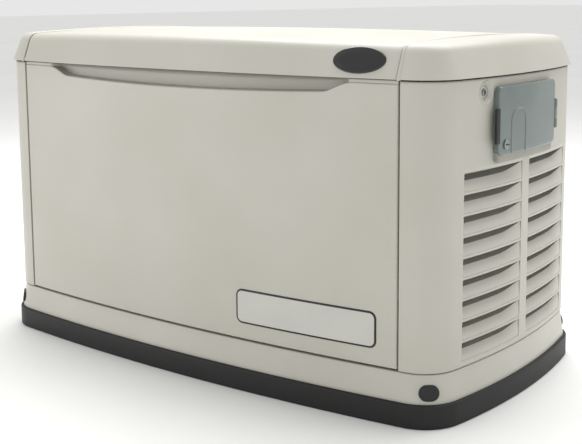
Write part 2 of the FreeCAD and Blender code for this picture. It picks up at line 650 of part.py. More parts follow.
def louvres(side):
    """Openings and inward-pressed slats of both columns of one side panel."""
    centre_x = side * side_centre
    columns = [(place - c.louvre_column_width / 2, place + c.louvre_column_width / 2)
               for place in (c.louvre_front_column, c.louvre_rear_column)]
    near, far = c.half_length - c.louvre_reach, c.half_length + CUT_THROUGH
    x0, x1 = (near, far) if side > 0 else (-far, -near)
    openings = []
    slats = []
    for row in range(int(c.louvre_rows.value)):
        slot = c.louvre_top_slot - row * c.louvre_pitch
        top = slot + c.louvre_slot_rise
        slat_top = top - c.louvre_slot
        low = slat_top - c.louvre_slat
        lean = c.louvre_depth
        outer = taper("Z", centre_x, c.side_apex_shift, low, side_radius, side_radius - lean,
                      c.louvre_slat)
        inner = taper("Z", centre_x, c.side_apex_shift, low, side_radius - c.louvre_wall,
                      side_radius - lean - c.louvre_wall, c.louvre_slat)
        face = rod("Z", centre_x, c.side_apex_shift, low, side_radius - c.louvre_wall / 2,
                   c.louvre_slat)
        band = cut(outer, inner)
        wedge = cut(face, outer)
        for front, rear in columns:
            openings.append(box(x0, x1, front, rear, low, top))
            slats.append(common(band, box(x0, x1, front, rear, low, slat_top)))
            for start in (front, rear - c.louvre_wall):
                slats.append(common(wedge, box(x0, x1, start, start + c.louvre_wall, low, slat_top)))
    return openings, slats


def make_side_panel(label, side, *hatches):
    skin = shell(0, c.panel_base, c.panel_top, c.panel_wall)
    edge = c.door_half_width + c.door_gap
    reach = c.half_length + CUT_THROUGH
    x0, x1 = (edge, reach) if side > 0 else (-reach, -edge)
    region = box(x0, x1, -c.half_length, c.half_length, c.panel_base, c.panel_top)
    flange_end = edge + c.panel_wall if side > 0 else -edge
    flange_start = edge if side > 0 else -edge - c.panel_wall
    depth = c.front_depth - c.front_bow - c.panel_flange
    flange = common(box(flange_start, flange_end, -c.front_depth, -depth, c.panel_base, c.panel_top),
                    outline(-c.panel_wall / 2, c.panel_base, c.panel_top))
    openings, slats = louvres(side)
    lock_hole = rod("X", side * c.half_length - CUT_THROUGH, c.lock_place, c.lock_height,
                    c.lock_dish_radius + c.hole_clearance, 2 * as_size(CUT_THROUGH))
    node(label, cut(fuse(cut(common(skin, region), *openings), flange, *slats), lock_hole, *hatches))


def make_rear_panel(hinges):
    edge = c.door_half_width - c.door_gap
    back = c.rear_depth
    sheet_metal = box(-edge, edge, back - c.panel_wall, back, c.panel_base, c.panel_top)
    flanges = []
    for start in (-edge, edge - c.panel_wall):
        flanges.append(box(start, start + c.panel_wall, back - c.panel_flange, back, c.panel_base,
                           c.panel_top))
    through = back - CUT_THROUGH
    length = 2 * as_size(CUT_THROUGH)
    neck = c.conduit_collar - c.conduit_shoulder
    holes = [rod("Y", c.regulator_place, through, c.inlet_height, c.inlet_radius + c.hole_clearance, length),
             rod("Y", c.conduit_place, through, c.conduit_height, neck, length)]
    node("rear_panel", group(cut(fuse(sheet_metal, *flanges), *holes), *hinges))


# ---------------------------------------------------------------- lid

def lid_solid(offset):
    """The lid's outer form grown by 'offset': leaning walls, a softer band and a crowned top."""
    offset = as_size(offset)
    base = c.lid_overhang + offset
    slope = c.lid_lean / (c.lid_edge - c.lid_base)
    shoulder = c.lid_edge - c.lid_band
    drawn_in = slope * (shoulder - c.lid_base)
    walls = outline(base, c.lid_base, shoulder, drawn_in)
    soft = outline(base - drawn_in, shoulder, c.lid_height,
                   (c.lid_height - shoulder) * (c.lid_band_lean / c.lid_band))
    reach = c.half_length * 2
    top = c.lid_height + offset
    across = rod("X", -reach, 0, top - c.crown_radius_front, c.crown_radius_front, 2 * reach)
    along = rod("Y", 0, -reach, top - c.crown_radius_side, c.crown_radius_side, 2 * reach)
    return common(common(fuse(walls, soft), along), across)


def make_lid(hinges):
    reach = c.half_length + CUT_THROUGH
    tall = c.lid_height + CUT_THROUGH
    hollow = lid_solid(-c.lid_wall)
    seam = c.lid_seam - c.lid_seam_gap
    panel = common(lid_solid(0), box(-seam, seam, -reach, reach, c.lid_base, tall))
    node("lid_panel", group(cut(panel, hollow), *hinges))
    proud = lid_solid(c.cap_proud)
    bead = lid_solid(c.cap_bead)
    for side, label in ((1, "lid_end_cap_right"), (-1, "lid_end_cap_left")):
        start, stop = c.lid_seam, c.lid_seam + c.cap_bead_width
        cap_box = box(start, reach, -reach, reach, c.lid_base, tall)
        bead_box = box(start, stop, -reach, reach, c.lid_base, tall)
        if side < 0:
            cap_box = box(-reach, -start, -reach, reach, c.lid_base, tall)
            bead_box = box(-stop, -start, -reach, reach, c.lid_base, tall)
        node(label, cut(fuse(common(proud, cap_box), common(bead, bead_box)), hollow))


def side_surface(place, stand):
    """X of the right-hand side wall's surface at a place along Y, and its outward bearing."""
    rise = as_size(place) - c.side_apex_shift
    x = side_centre + root((side_radius + stand) * (side_radius + stand) - rise * rise)
    return x, heading(x - side_centre, rise)


# ---------------------------------------------------------------- locks and lid keepers

def make_lock(label, side):
    """A quarter-turn lock: keyed rotor with its cam, dished housing, and the keeper under the lid."""
    x, bearing = side_surface(c.lock_place, 0)
    rotation = FreeCAD.Rotation(FreeCAD.Vector(0, 0, 1), bearing if side > 0 else 180 - bearing)
    upright = rotation.multiply(TURN["X"])
    bore = c.lock_rotor_radius + c.lock_running_fit
    sleeve = bore + c.lock_dish_wall
    rim = c.lock_dish_radius
    length = c.lock_barrel_length
    profile = [(bore, -length), (sleeve, -length), (sleeve, -c.lock_dish_depth), (rim, -c.lock_dish_wall),
               (rim, c.lock_rim), (rim - c.lock_dish_wall, c.lock_rim), (bore, -c.lock_dish_depth)]
    housing = locate(turned(profile, 0, 0, 0), side * x, c.lock_place, c.lock_height, upright)
    face = -(c.lock_dish_depth + c.lock_rim)
    stem_length = length + c.lock_cam_wall
    stem = rod("X", -stem_length, 0, 0, c.lock_rotor_radius, stem_length + face)
    back = -(length + c.lock_cam_gap)
    half = c.lock_cam_width / 2
    cam = box(back - c.lock_cam_wall, back, -half, half, -c.lock_cam_reach, 0)
    slot = box(face - c.lock_slot_depth, 0, -c.lock_slot_width / 2, c.lock_slot_width / 2,
               -c.lock_slot_reach, c.lock_slot_reach)
    rotor = cut(fuse(stem, cam), slot)
    node("lock_rotor_" + label, locate(rotor, side * x, c.lock_place, c.lock_height, rotation))
    inner = x - length - c.lock_cam_wall - c.keeper_margin
    outer = x + c.lid_overhang
    start = c.lock_place + c.keeper_gap
    stop = start + c.keeper_wall
    blade = box(inner, inner + c.keeper_width, start, stop, c.lock_height - c.keeper_drop, c.lid_base)
    foot = box(inner, outer, start, stop, c.lid_base, c.lid_base + c.keeper_foot)
    window = box(inner + c.keeper_wall, inner + c.keeper_width, start, stop,
                 c.lock_height - c.keeper_window, c.lock_height + c.lock_cam_width)
    keeper = common(fuse(cut(blade, window), foot), side_box(inner, outer + CUT_THROUGH))
    return housing, keeper if side > 0 else mirrored(keeper)


def side_box(x0, x1):
    return box(x0, x1, -c.half_length, c.half_length, 0, c.lid_height)


def mirrored(piece):
    """The piece on the other side of the enclosure's middle plane."""
    made = doc.addObject("Part::Mirroring", "mirror")
    made.Source = piece
    made.Normal = (1, 0, 0)
    return made


def make_locks():
    hollow = lid_solid(-c.lid_wall)
    skirt = box(-c.half_length * 2, c.half_length * 2, -c.half_length, c.half_length, 0, c.lid_base)
    room = fuse(hollow, skirt)
    right_housing, right_keeper = make_lock("right", 1)
    left_housing, left_keeper = make_lock("left", -1)
    node("lock_housings", group(right_housing, left_housing))
    node("lid_keepers", group(common(right_keeper, room), common(left_keeper, room)))


# ---------------------------------------------------------------- breaker compartment

def hatch_box(margin, x0, x1):
    """The opening behind the breaker cover, grown all round by 'margin'."""
    rim = c.bezel_rim - margin
    return box(x0, x1, c.cover_front + rim, c.cover_rear - rim, c.cover_low + rim, c.cover_high - rim)


def side_band(offset, wall, low, high):
    """A layer of the right-hand side wall, from 'offset' outside the panel inwards by 'wall'."""
    offset = as_size(offset)
    outer = rod("Z", side_centre, c.side_apex_shift, low, side_radius + offset, as_size(high) - low)
    inner = rod("Z", side_centre, c.side_apex_shift, low, side_radius + offset - wall, as_size(high) - low)
    return cut(outer, inner)


def make_breaker_bay():
    inside = c.half_length - c.hatch_depth
    reach = c.half_length + CUT_THROUGH
    seat = c.cover_wall + c.cover_seat_gap
    low, high = c.cover_low - c.bezel_drop, c.cover_high - seat
    frame = common(side_band(c.bezel_stand, c.bezel_stand, low, high),
                   box(inside, reach, c.cover_front + seat, c.cover_rear - c.bezel_margin, low, high))
    hinge_x, _ = side_surface(c.hinge_place, c.hinge_stand)
    knuckle_low = c.knuckle_low + c.knuckle_length + c.knuckle_gap
    knuckle_high = c.knuckle_low + c.knuckle_pitch - c.knuckle_gap
    lug = rod("Z", hinge_x, c.hinge_place, knuckle_low, c.hinge_knuckle, knuckle_high - knuckle_low)
    panel_x, _ = side_surface(c.hinge_place, 0)
    panel = rod("Z", side_centre, c.side_apex_shift, knuckle_low, side_radius, knuckle_high - knuckle_low)
    arm = box(panel_x, hinge_x - c.cover_wall, c.cover_rear - c.bezel_margin - c.bezel_wall, c.hinge_place,
              knuckle_low, knuckle_high)
    pin_hole = rod("Z", hinge_x, c.hinge_place, knuckle_low, c.hinge_pin, knuckle_high - knuckle_low)
    span = c.knuckle_pitch + c.knuckle_length
    pin = rod("Z", hinge_x, c.hinge_place, c.knuckle_low, c.hinge_pin, span)
    bezel = cut(fuse(frame, lug, cut(arm, panel)), pin_hole, hatch_box(0, inside, reach))
    node("breaker_bezel", group(bezel, pin))

    tray = cut(hatch_box(c.hatch_wall, inside, reach), hatch_box(0, inside + c.hatch_wall, reach))
    interior = rod("Z", side_centre, c.side_apex_shift, 0, side_radius - c.panel_wall, c.lid_height)
    node("breaker_box", common(tray, interior))

    cover_top = c.cover_stand + c.cover_wall
    blank = rounded_box(inside, reach, c.cover_front, c.cover_rear, c.cover_low, c.cover_high,
                        c.cover_corner, "X")
    skin = common(side_band(cover_top, c.cover_wall, c.cover_low, c.cover_high), blank)
    open_sides = box(inside, reach, c.cover_front + c.cover_wall, c.cover_rear, c.cover_low,
                     c.cover_high - c.cover_wall)
    skirt = common(side_band(cover_top, cover_top - c.cover_skirt_gap, c.cover_low, c.cover_high),
                   cut(blank, open_sides))
    knuckles = []
    bores = []
    for i in range(2):
        start = c.knuckle_low + i * c.knuckle_pitch
        knuckles.append(rod("Z", hinge_x, c.hinge_place, start, c.hinge_knuckle, c.knuckle_length))
        knuckles.append(box(hinge_x - c.cover_wall / 2, hinge_x + c.cover_wall / 2,
                            c.cover_rear - c.cover_wall * 2, c.hinge_place, start,
                            start + c.knuckle_length))
        bores.append(rod("Z", hinge_x, c.hinge_place, start, c.hinge_pin + c.hinge_fit,
                         c.knuckle_length))
    arch_middle = (c.arch_front + c.arch_rear) / 2
    arch_radius = (c.arch_rear - c.arch_front) / 2
    arch_centre = c.arch_high - arch_radius

    def arch(radius):
        return fuse(rod("X", inside, arch_middle, arch_centre, radius, reach - inside),
                    box(inside, reach, arch_middle - radius, arch_middle + radius, c.cover_low,
                        arch_centre))

    rib = common(side_band(cover_top + c.arch_proud, c.arch_proud, c.cover_low, c.arch_high),
                 cut(arch(arch_radius), arch(arch_radius - c.arch_rib)))
    latch_x, bearing = side_surface(c.latch_place, cover_top)
    turn = FreeCAD.Rotation(FreeCAD.Vector(0, 0, 1), bearing)
    shank_hole = rod("X", -CUT_THROUGH / 2, 0, 0, c.latch_shank + c.hinge_fit, as_size(CUT_THROUGH))
    shank_hole = locate(fuse(shank_hole), latch_x, c.latch_place, c.latch_height, turn)
    node("breaker_cover", cut(fuse(skin, skirt, rib, *knuckles), shank_hole, *bores))
    tab = common(side_band(c.cover_stand + c.tab_wall, c.tab_wall, c.tab_low, c.tab_high),
                 box(inside, reach, c.tab_front, c.cover_front, c.tab_low, c.tab_high))
    node("cover_pull_tab", tab)

    head = rod("X", c.latch_gap, 0, 0, c.latch_radius, c.latch_head)
    groove = box(c.latch_gap + c.latch_head / 2, c.latch_gap + c.latch_head, -c.latch_wing, c.latch_wing,
                 -c.lock_slot_width / 2, c.lock_slot_width / 2)
    back = -(c.cover_wall + c.latch_gap + c.latch_wing_wall)
    shank = rod("X", back, 0, 0, c.latch_shank, c.latch_gap - back)
    wing = box(back, back + c.latch_wing_wall, -c.latch_wing, c.latch_wing, -c.latch_shank, c.latch_shank)
    latch = fuse(cut(head, groove), shank, wing)
    node("cover_latch", locate(latch, latch_x, c.latch_place, c.latch_height, turn))


def make_breaker():
    back = c.half_length - c.hatch_depth + c.hatch_wall
    face = back + c.breaker_depth
    middle = (c.breaker_front + c.breaker_rear) / 2
    level = (c.breaker_low + c.breaker_high) / 2
    pivot = face - c.handle_wall
    half = c.handle_width / 2
    clear = half + c.key_clearance
    case = rounded_box(back, face, c.breaker_front, c.breaker_rear, c.breaker_low, c.breaker_high,
                       c.handle_wall / 2, "X")
    slot = box(pivot - c.handle_wall, face, middle - clear, middle + clear,
               level - 2 * c.handle_wall, level + 2 * c.handle_wall)
    axle_half = half + c.handle_wall
    bore = rod("Y", pivot, middle - axle_half, level, c.handle_axle + c.hinge_fit, 2 * axle_half)
    node("main_breaker", cut(case, slot, bore))
    barrel = rod("Y", 0, -half, 0, c.handle_barrel, c.handle_width)
    lever = box(0, c.handle_length, -half, half, -c.handle_wall / 2, c.handle_wall / 2)
    axle = rod("Y", 0, -axle_half, 0, c.handle_axle, 2 * axle_half)
    tilt = FreeCAD.Rotation(FreeCAD.Vector(0, 1, 0), -c.handle_rest_turn.value)
    node("breaker_handle", locate(fuse(barrel, lever, axle), pivot, middle, level, tilt))
    lights = [rod("X", back, c.light_place, level + i * c.light_pitch, c.light_radius, c.light_proud)
              for i in (-1, 0, 1)]
    node("status_lights", fuse(*lights))


# ---------------------------------------------------------------- lid hinges and badge

def make_lid_hinges():
    y = c.rear_depth + c.lid_hinge_out
    z = c.lid_base
    slope = c.lid_lean / (c.lid_edge - c.lid_base)
    lid_parts, body_parts, pins = [], [], []
    third = c.lid_hinge_length / 3
    for side in (1, -1):
        start = side * c.lid_hinge_place - c.lid_hinge_length / 2
        stop = start + c.lid_hinge_length
        rise = c.lid_hinge_leaf
        leaf = cut(rear_wall(c.lid_overhang + c.lid_hinge_wall, z, z + rise, slope * rise),
                   rear_wall(c.lid_overhang, z, z + rise, slope * rise))
        near, far = start + third + c.lid_hinge_gap, stop - third - c.lid_hinge_gap
        leaf = common(leaf, box(near, far, 0, y, z, z + rise))
        knuckle = rod("X", near, y, z, c.lid_hinge_radius, far - near)
        hole = rod("X", near, y, z, c.lid_hinge_pin + c.hinge_fit, far - near)
        lid_parts.append(cut(fuse(leaf, knuckle), hole))
        shelf_top = z - c.lid_hinge_radius + c.lid_hinge_rise
        pieces = [box(start, stop, c.rear_depth, c.rear_depth + c.lid_hinge_wall, z - rise, shelf_top)]
        for first in (start, stop - third):
            pieces.append(box(first, first + third, c.rear_depth, y, shelf_top - c.lid_hinge_wall,
                              shelf_top))
            pieces.append(rod("X", first, y, z, c.lid_hinge_radius, third))
        pin = rod("X", start, y, z, c.lid_hinge_pin, c.lid_hinge_length)
        body_parts.append(cut(fuse(*pieces), pin))
        pins.append(pin)
    return lid_parts, body_parts + pins


def make_badge():
    """An oval plate that lies on the lid's leaning front."""
    slope = c.lid_lean / (c.lid_edge - c.lid_base)
    low = c.badge_height - c.badge_width / 2
    high = c.badge_height + c.badge_width / 2
    base = c.lid_overhang - slope * (low - c.lid_base)
    band = cut(outline(base + c.badge_wall, low, high, slope * c.badge_width),
               outline(base, low, high, slope * c.badge_width))
    stretch = c.badge_length / c.badge_width
    disc = doc.addObject("Part::Ellipse", "rim")
    bind(disc, "MajorRadius", c.badge_length / 2)
    bind(disc, "MinorRadius", c.badge_width / 2)
    prism = doc.addObject("Part::Extrusion", "oval")
    prism.Base = disc
    prism.Dir = FreeCAD.Vector(0, 0, 1)
    prism.Solid = True
    bind(prism, "LengthFwd", c.front_depth * stretch)
    locate(prism, c.badge_place, 0, c.badge_height, FreeCAD.Rotation(FreeCAD.Vector(1, 0, 0), 90))
    node("lid_badge", common(band, prism))


# ---------------------------------------------------------------- engine

def make_frame(cradle):
    low = c.rail_low
    rails, mounts = [], []
    for side in (-1, 1):
        middle = side * c.rail_place
        y0, y1 = middle - c.rail_width / 2, middle + c.rail_width / 2
        outer = box(c.rail_left, c.rail_right, y0, y1, low, low + c.rail_height)
        inner = box(c.rail_left, c.rail_right, y0 + c.rail_wall, y1 - c.rail_wall,
                    low, low + c.rail_height - c.rail_wall)
        rails.append(cut(outer, inner))
        for x in (c.rail_left + c.isolator_inset, c.rail_right - c.isolator_inset):
            mounts.append(taper("Z", x, middle, c.floor_top, c.isolator_radius, c.isolator_top_radius,
                                c.isolator_height))
    for x in (c.rail_left, c.rail_right - c.rail_width):
        rails.append(box(x, x + c.rail_width, -c.rail_place, c.rail_place, low + c.rail_wall,
                         low + c.rail_height - c.rail_wall))
    node("engine_rails", group(fuse(*rails), cradle))
    node("rubber_isolators", fuse(*mounts))


def make_crankcase(dipstick_tube):
    half, deck = c.case_half_width, c.case_deck * math.sqrt(2)
    rise = deck - half
    low = c.case_low - c.shaft_height
    high = c.case_high - c.shaft_height
    points = [(-half, low), (half, low), (half, rise), (deck - high, high), (high - deck, high),
              (-half, rise)]
    body = plate(points, "YZ_Plane", c.case_right - c.case_left, c.case_left, 0, c.shaft_height)
    inset = c.sump_inset
    sump = rounded_box(c.case_left + inset, c.case_right - inset, inset - half, half - inset,
                       c.case_low - c.sump_height, c.case_low, c.case_corner, "Z")
    feet = []
    for x in (c.case_left + inset, c.case_right - inset - c.foot_length):
        for side in (-1, 1):
            near = side * (half - c.foot_height)
            far = side * (c.rail_place + c.foot_height / 2)
            y0, y1 = (near, far) if side > 0 else (far, near)
            feet.append(box(x, x + c.foot_length, y0, y1, c.rail_top, c.case_low + c.foot_height))
    bore = rod("X", c.case_left, 0, c.shaft_height, c.shaft_radius + c.bearing_fit,
               c.case_right - c.case_left)
    node("crankcase", group(cut(fuse(body, sump, *feet), bore), dipstick_tube))


def bank(piece, x, side):
    """Stand an upright cylinder piece on its deck, leaning to the front or the back."""
    lean = FreeCAD.Rotation(FreeCAD.Vector(1, 0, 0), -side * c.barrel_turn.value)
    return locate(piece, x, 0, c.shaft_height, lean)


def head_block(x, side):
    start = c.case_deck + c.barrel_length
    half = c.head_size / 2
    return bank(fuse(box(-half, half, -half, half, start, start + c.head_length)), x, side)


def make_cylinders():
    barrels, heads, covers = [], [], []
    for x, side in ((c.barrel_front_place, -1), (c.barrel_rear_place, 1)):
        start = c.case_deck
        barrel = [rod("Z", 0, 0, start, c.barrel_radius, c.barrel_length)]
        for i in range(int(c.fin_count.value)):
            barrel.append(rod("Z", 0, 0, start + c.fin_pitch * (i + 1), c.fin_radius, c.fin_wall))
        bore = rod("Z", 0, 0, start, c.barrel_bore, c.barrel_length)
        barrels.append(bank(cut(fuse(*barrel), bore), x, side))
        heads.append(head_block(x, side))
        top = start + c.barrel_length + c.head_length
        half = c.rocker_size / 2
        cover = rounded_box(-half, half, -half, half, top, top + c.rocker_length, c.rocker_corner, "Z")
        covers.append(bank(fuse(cover), x, side))
    node("cylinders", group(*barrels))
    node("cylinder_heads", group(*heads))
    node("rocker_covers", group(*covers))
    plugs = []
    level = c.case_deck + c.barrel_length + c.head_length / 2
    for x, side in ((c.barrel_front_place, -1), (c.barrel_rear_place, 1)):
        lead = fuse(rod("X", c.head_size / 2, 0, level, c.plug_radius, c.plug_length),
                    rod("X", c.head_size / 2, 0, level, c.plug_boot_radius, c.plug_boot_length))
        plugs.append(bank(lead, x, side))
    node("spark_plugs", fuse(*plugs))
    return heads


def make_intake(heads):
    middle = (c.barrel_front_place + c.barrel_rear_place) / 2
    half = c.air_box_half_width
    shell_ = rounded_box(c.air_box_left, c.air_box_right, -half, half, c.air_box_low, c.air_box_high,
                         c.air_corner, "Z")
    wall = c.air_box_wall
    hollow = box(c.air_box_left + wall, c.air_box_right - wall, wall - half, half - wall,
                 c.air_box_low + wall, c.air_box_high)
    mouth = rod("Z", middle, 0, c.air_box_low, c.mixer_radius - c.mixer_wall, wall)
    node("air_box", cut(shell_, hollow, mouth))
    top = c.air_box_high + c.air_cover_height
    cover = rounded_box(c.air_box_left, c.air_box_right, -half, half, c.air_box_high, top,
                        c.air_corner, "Z")
    left, right = c.air_box_left + c.air_rib_inset, c.air_box_right - c.air_rib_inset
    ribs = [box(left, right, y - wall, y + wall, top, top + wall)
            for y in (-half / 2, as_size(0), half / 2)]
    node("air_filter_cover", fuse(cover, *ribs))
    runner_height = c.manifold_height
    plenum = rod("X", c.barrel_front_place, 0, runner_height, c.manifold_radius,
                 c.barrel_rear_place - c.barrel_front_place)
    front = rod("Y", c.barrel_front_place, -c.runner_reach, runner_height, c.manifold_radius,
                c.runner_reach)
    rear = rod("Y", c.barrel_rear_place, 0, runner_height, c.manifold_radius, c.runner_reach)
    rise = c.air_box_low - (runner_height + c.manifold_radius)
    mixer = tube("Z", middle, 0, runner_height + c.manifold_radius, c.mixer_radius,
                 c.mixer_radius - c.mixer_wall, rise)
    node("intake_manifold", group(cut(fuse(plenum, front, rear), *heads), mixer))


def make_service_parts():
    radius, length = c.filter_radius, c.filter_length
    profile = [(0, 0), (radius - c.case_corner, 0), (radius, c.case_corner / 3), (radius, length),
               (0, length)]
    near = -c.case_half_width - length
    node("oil_filter", turned(profile, c.filter_place, near, c.filter_height, "Y"))
    base = box(c.dipstick_place - c.dipstick_tube, c.dipstick_place + c.dipstick_tube, c.dipstick_out,
               -c.case_half_width, c.dipstick_low, c.dipstick_low + 2 * c.dipstick_tube)
    neck = rod("Z", c.dipstick_place, c.dipstick_out, c.dipstick_low, c.dipstick_tube,
               c.dipstick_high - c.dipstick_low)
    well = rod("Z", c.dipstick_place, c.dipstick_out, c.dipstick_low + c.dipstick_rod,
               c.dipstick_rod + c.dipstick_fit, c.dipstick_high - c.dipstick_low)
    dipstick_tube = cut(fuse(base, neck), well)
    blade = rod("Z", c.dipstick_place, c.dipstick_out, c.dipstick_low + 2 * c.dipstick_rod,
                c.dipstick_rod, c.dipstick_high - c.dipstick_low)
    cap_low = c.dipstick_high + c.hole_clearance
    cap = rod("Z", c.dipstick_place, c.dipstick_out, cap_low, c.dipstick_cap_radius, c.dipstick_tube)
    grip = rod("X", c.dipstick_place - c.dipstick_handle, c.dipstick_out, cap_low + c.dipstick_grip_rise,
               c.dipstick_rod, 2 * c.dipstick_handle)
    node("dipstick", fuse(blade, cap, grip))
    return dipstick_tube


def make_rotating_parts():
    """Crankshaft, flywheel fan and alternator rotor, which turn together."""
    right = c.stator_left + c.stator_length
    start = c.fan_left + c.fan_wall
    stop = right + c.bell_length - c.bell_wall / 2
    node("crankshaft", rod("X", start, 0, c.shaft_height, c.shaft_radius, stop - start))
    disc = rod("X", c.fan_left, 0, c.shaft_height, c.fan_radius, c.fan_wall)
    hub = tube("X", c.fan_left + c.fan_wall, 0, c.shaft_height, c.fan_hub, c.shaft_radius, c.fan_hub)
    blades = []
    for i in range(int(c.fan_blades.value)):
        blade = box(start, start + c.fan_blade, -c.fan_blade_wall / 2, c.fan_blade_wall / 2,
                    c.fan_blade_root, c.fan_radius)
        turn = FreeCAD.Rotation(FreeCAD.Vector(1, 0, 0), 360.0 * i / c.fan_blades.value)
        blades.append(locate(fuse(blade), 0, 0, c.shaft_height, turn))
    node("flywheel_fan", fuse(disc, hub, *blades))
    rotor_left = c.stator_left + c.rotor_inset
    rotor_length = c.stator_length - 2 * c.rotor_inset
    node("alternator_rotor", tube("X", rotor_left, 0, c.shaft_height, c.stator_bore - c.air_gap,
                                  c.shaft_radius, rotor_length))


def make_blower():
    inner = c.fan_radius + c.blower_clearance
    length = c.case_left - c.blower_left
    shroud = tube("X", c.blower_left, 0, c.shaft_height, inner + c.blower_wall, inner, length)
    cap = tube("X", c.blower_left, 0, c.shaft_height, inner, c.blower_mouth, c.blower_wall)
    back = tube("X", c.case_left - c.blower_wall, 0, c.shaft_height, inner, c.blower_back_bore,
                c.blower_wall)
    node("blower_housing", fuse(shroud, cap, back))


def make_starter():
    length = c.starter_length
    points = [(0, 0), (c.starter_pinion, 0), (c.starter_pinion, c.case_corner),
              (c.starter_nose, c.case_corner), (c.starter_radius, length / 3),
              (c.starter_radius, length), (0, length)]
    motor = turned(points, c.starter_left, c.starter_place, c.starter_height, "X")
    solenoid = rod("X", c.starter_left + length / 3, c.starter_place,
                   c.starter_height + c.solenoid_rise, c.solenoid_radius, length / 2)
    node("starter_motor", fuse(motor, solenoid))


def ring_of_holes(count, x, place, radius, first_turn):
    """Holes along X, spaced evenly on a circle about the shaft."""
    holes = []
    for i in range(int(count.value)):
        hole = fuse(rod("X", 0, 0, place, radius, as_size(CUT_THROUGH)))
        turn = FreeCAD.Rotation(FreeCAD.Vector(1, 0, 0), 360.0 / count.value * (i + first_turn))
        holes.append(locate(hole, x, 0, c.shaft_height, turn))
    return holes


def make_alternator():
    z = c.shaft_height
    journal = c.shaft_radius + c.bearing_fit
    adapter_length = c.stator_left - c.case_right
    inner = c.stator_radius - c.adapter_wall
    drum = tube("X", c.case_right, 0, z, c.stator_radius, inner, adapter_length)
    web = tube("X", c.case_right, 0, z, c.stator_radius, journal, c.adapter_wall)
    vents = ring_of_holes(c.adapter_vents, c.case_right - c.adapter_wall / 2, c.adapter_vent_place,
                          c.adapter_vent_radius, 0.5)
    adapter = cut(fuse(drum, web), *vents)
    core = tube("X", c.stator_left, 0, z, c.stator_radius, c.stator_bore, c.stator_length)
    fins = []
    for i in range(int(c.stator_fins.value)):
        fin = box(c.stator_left, c.stator_left + c.stator_length, -c.stator_fin_wall / 2,
                  c.stator_fin_wall / 2, c.stator_radius - c.fin_root, c.stator_radius + c.stator_fin)
        turn = FreeCAD.Rotation(FreeCAD.Vector(1, 0, 0), 360.0 / c.stator_fins.value * (i + 0.5))
        fins.append(locate(fuse(fin), 0, 0, z, turn))
    node("alternator_stator", fuse(core, *fins))
    right = c.stator_left + c.stator_length
    cup = tube("X", right, 0, z, c.stator_radius, c.stator_radius - c.bell_wall, c.bell_length)
    disc = tube("X", right + c.bell_length - c.bell_wall, 0, z, c.stator_radius, journal, c.bell_wall)
    holes = ring_of_holes(c.bell_vents, right + c.bell_length / 2, c.bell_vent_place, c.bell_vent, 0)
    node("alternator_end_frames", group(adapter, cut(fuse(cup, disc), *holes)))
    start = c.stator_left + c.foot_length
    saddle = box(start, start + c.foot_length, -c.rail_place, c.rail_place, c.rail_top, z - c.saddle_rise)
    room = c.stator_radius + c.stator_fin + c.hole_clearance
    drum_space = rod("X", c.stator_left, 0, z, room, c.stator_length)
    return cut(saddle, drum_space)


# ---------------------------------------------------------------- exhaust side

def bent_pipe(start_x, y, z, radius):
    """A pipe that runs left from a head, then bends down towards the muffler."""
    bend = c.pipe_bend
    turn_x = c.muffler_place + bend + c.pipe_radius
    straight = rod("X", turn_x, y, z, radius, start_x - turn_x)
    ring = doc.addObject("Part::Torus", "bend")
    bind(ring, "Radius1", bend)
    bind(ring, "Radius2", radius)
    locate(ring, turn_x, y, z - bend, TURN["Y"])
    corner = box(turn_x - bend * 2, turn_x, y - bend, y + bend, z - bend, z + bend)
    return fuse(straight, common(ring, corner))


def make_exhaust():
    level = c.case_deck + c.barrel_length + c.head_length / 2
    reach = level * sine(c.barrel_turn)
    height = c.shaft_height + level * cosine(c.barrel_turn)
    half = c.head_size / 2
    length, radius, dome = c.muffler_length, c.muffler_radius, c.muffler_dome
    profile = [(0, -dome), (c.dome_radius, -c.dome_edge), (radius, 0), (radius, length),
               (c.dome_radius, length + c.dome_edge), (0, length + dome)]
    can = turned(profile, c.muffler_place, -length / 2, c.muffler_height, "Y")
    outlet = rod("X", c.muffler_place - c.tailpipe_drop, 0, c.muffler_height,
                 c.pipe_radius + c.outlet_wall, c.tailpipe_drop)
    muffler = fuse(can, outlet)
    pipes, holes = [], []
    for x, side in ((c.barrel_front_place - half, -1), (c.barrel_rear_place - half, 1)):
        y = side * reach
        outer = bent_pipe(x, y, height, c.pipe_radius)
        pipes.append(cut(outer, bent_pipe(x, y, height, c.pipe_radius - c.pipe_wall), can))
        holes.append(rod("X", c.divider_place - c.divider_wall, y, height, c.pipe_radius + c.pipe_clearance,
                         3 * c.divider_wall))
    node("exhaust_system", group(muffler, *pipes))
    wall_sheet = box(c.divider_place, c.divider_place + c.divider_wall, -c.divider_half_width,
                     c.divider_half_width, c.floor_top, c.divider_high)
    mouth = rod("X", c.divider_place, 0, c.shaft_height, c.blower_mouth, c.divider_wall)
    divider = cut(wall_sheet, mouth, *holes)
    left, right = c.muffler_place - c.foot_length / 2, c.muffler_place + c.foot_length / 2
    posts = [box(left, right, y, y + c.foot_height, c.floor_top, c.muffler_height - c.post_drop)
             for y in (-length / 3, length / 3 - c.foot_height)]
    drum = rod("Y", c.muffler_place, -length / 2, c.muffler_height, c.muffler_radius, length)
    return divider, cut(fuse(*posts), drum)


# ---------------------------------------------------------------- battery, controls and fuel train

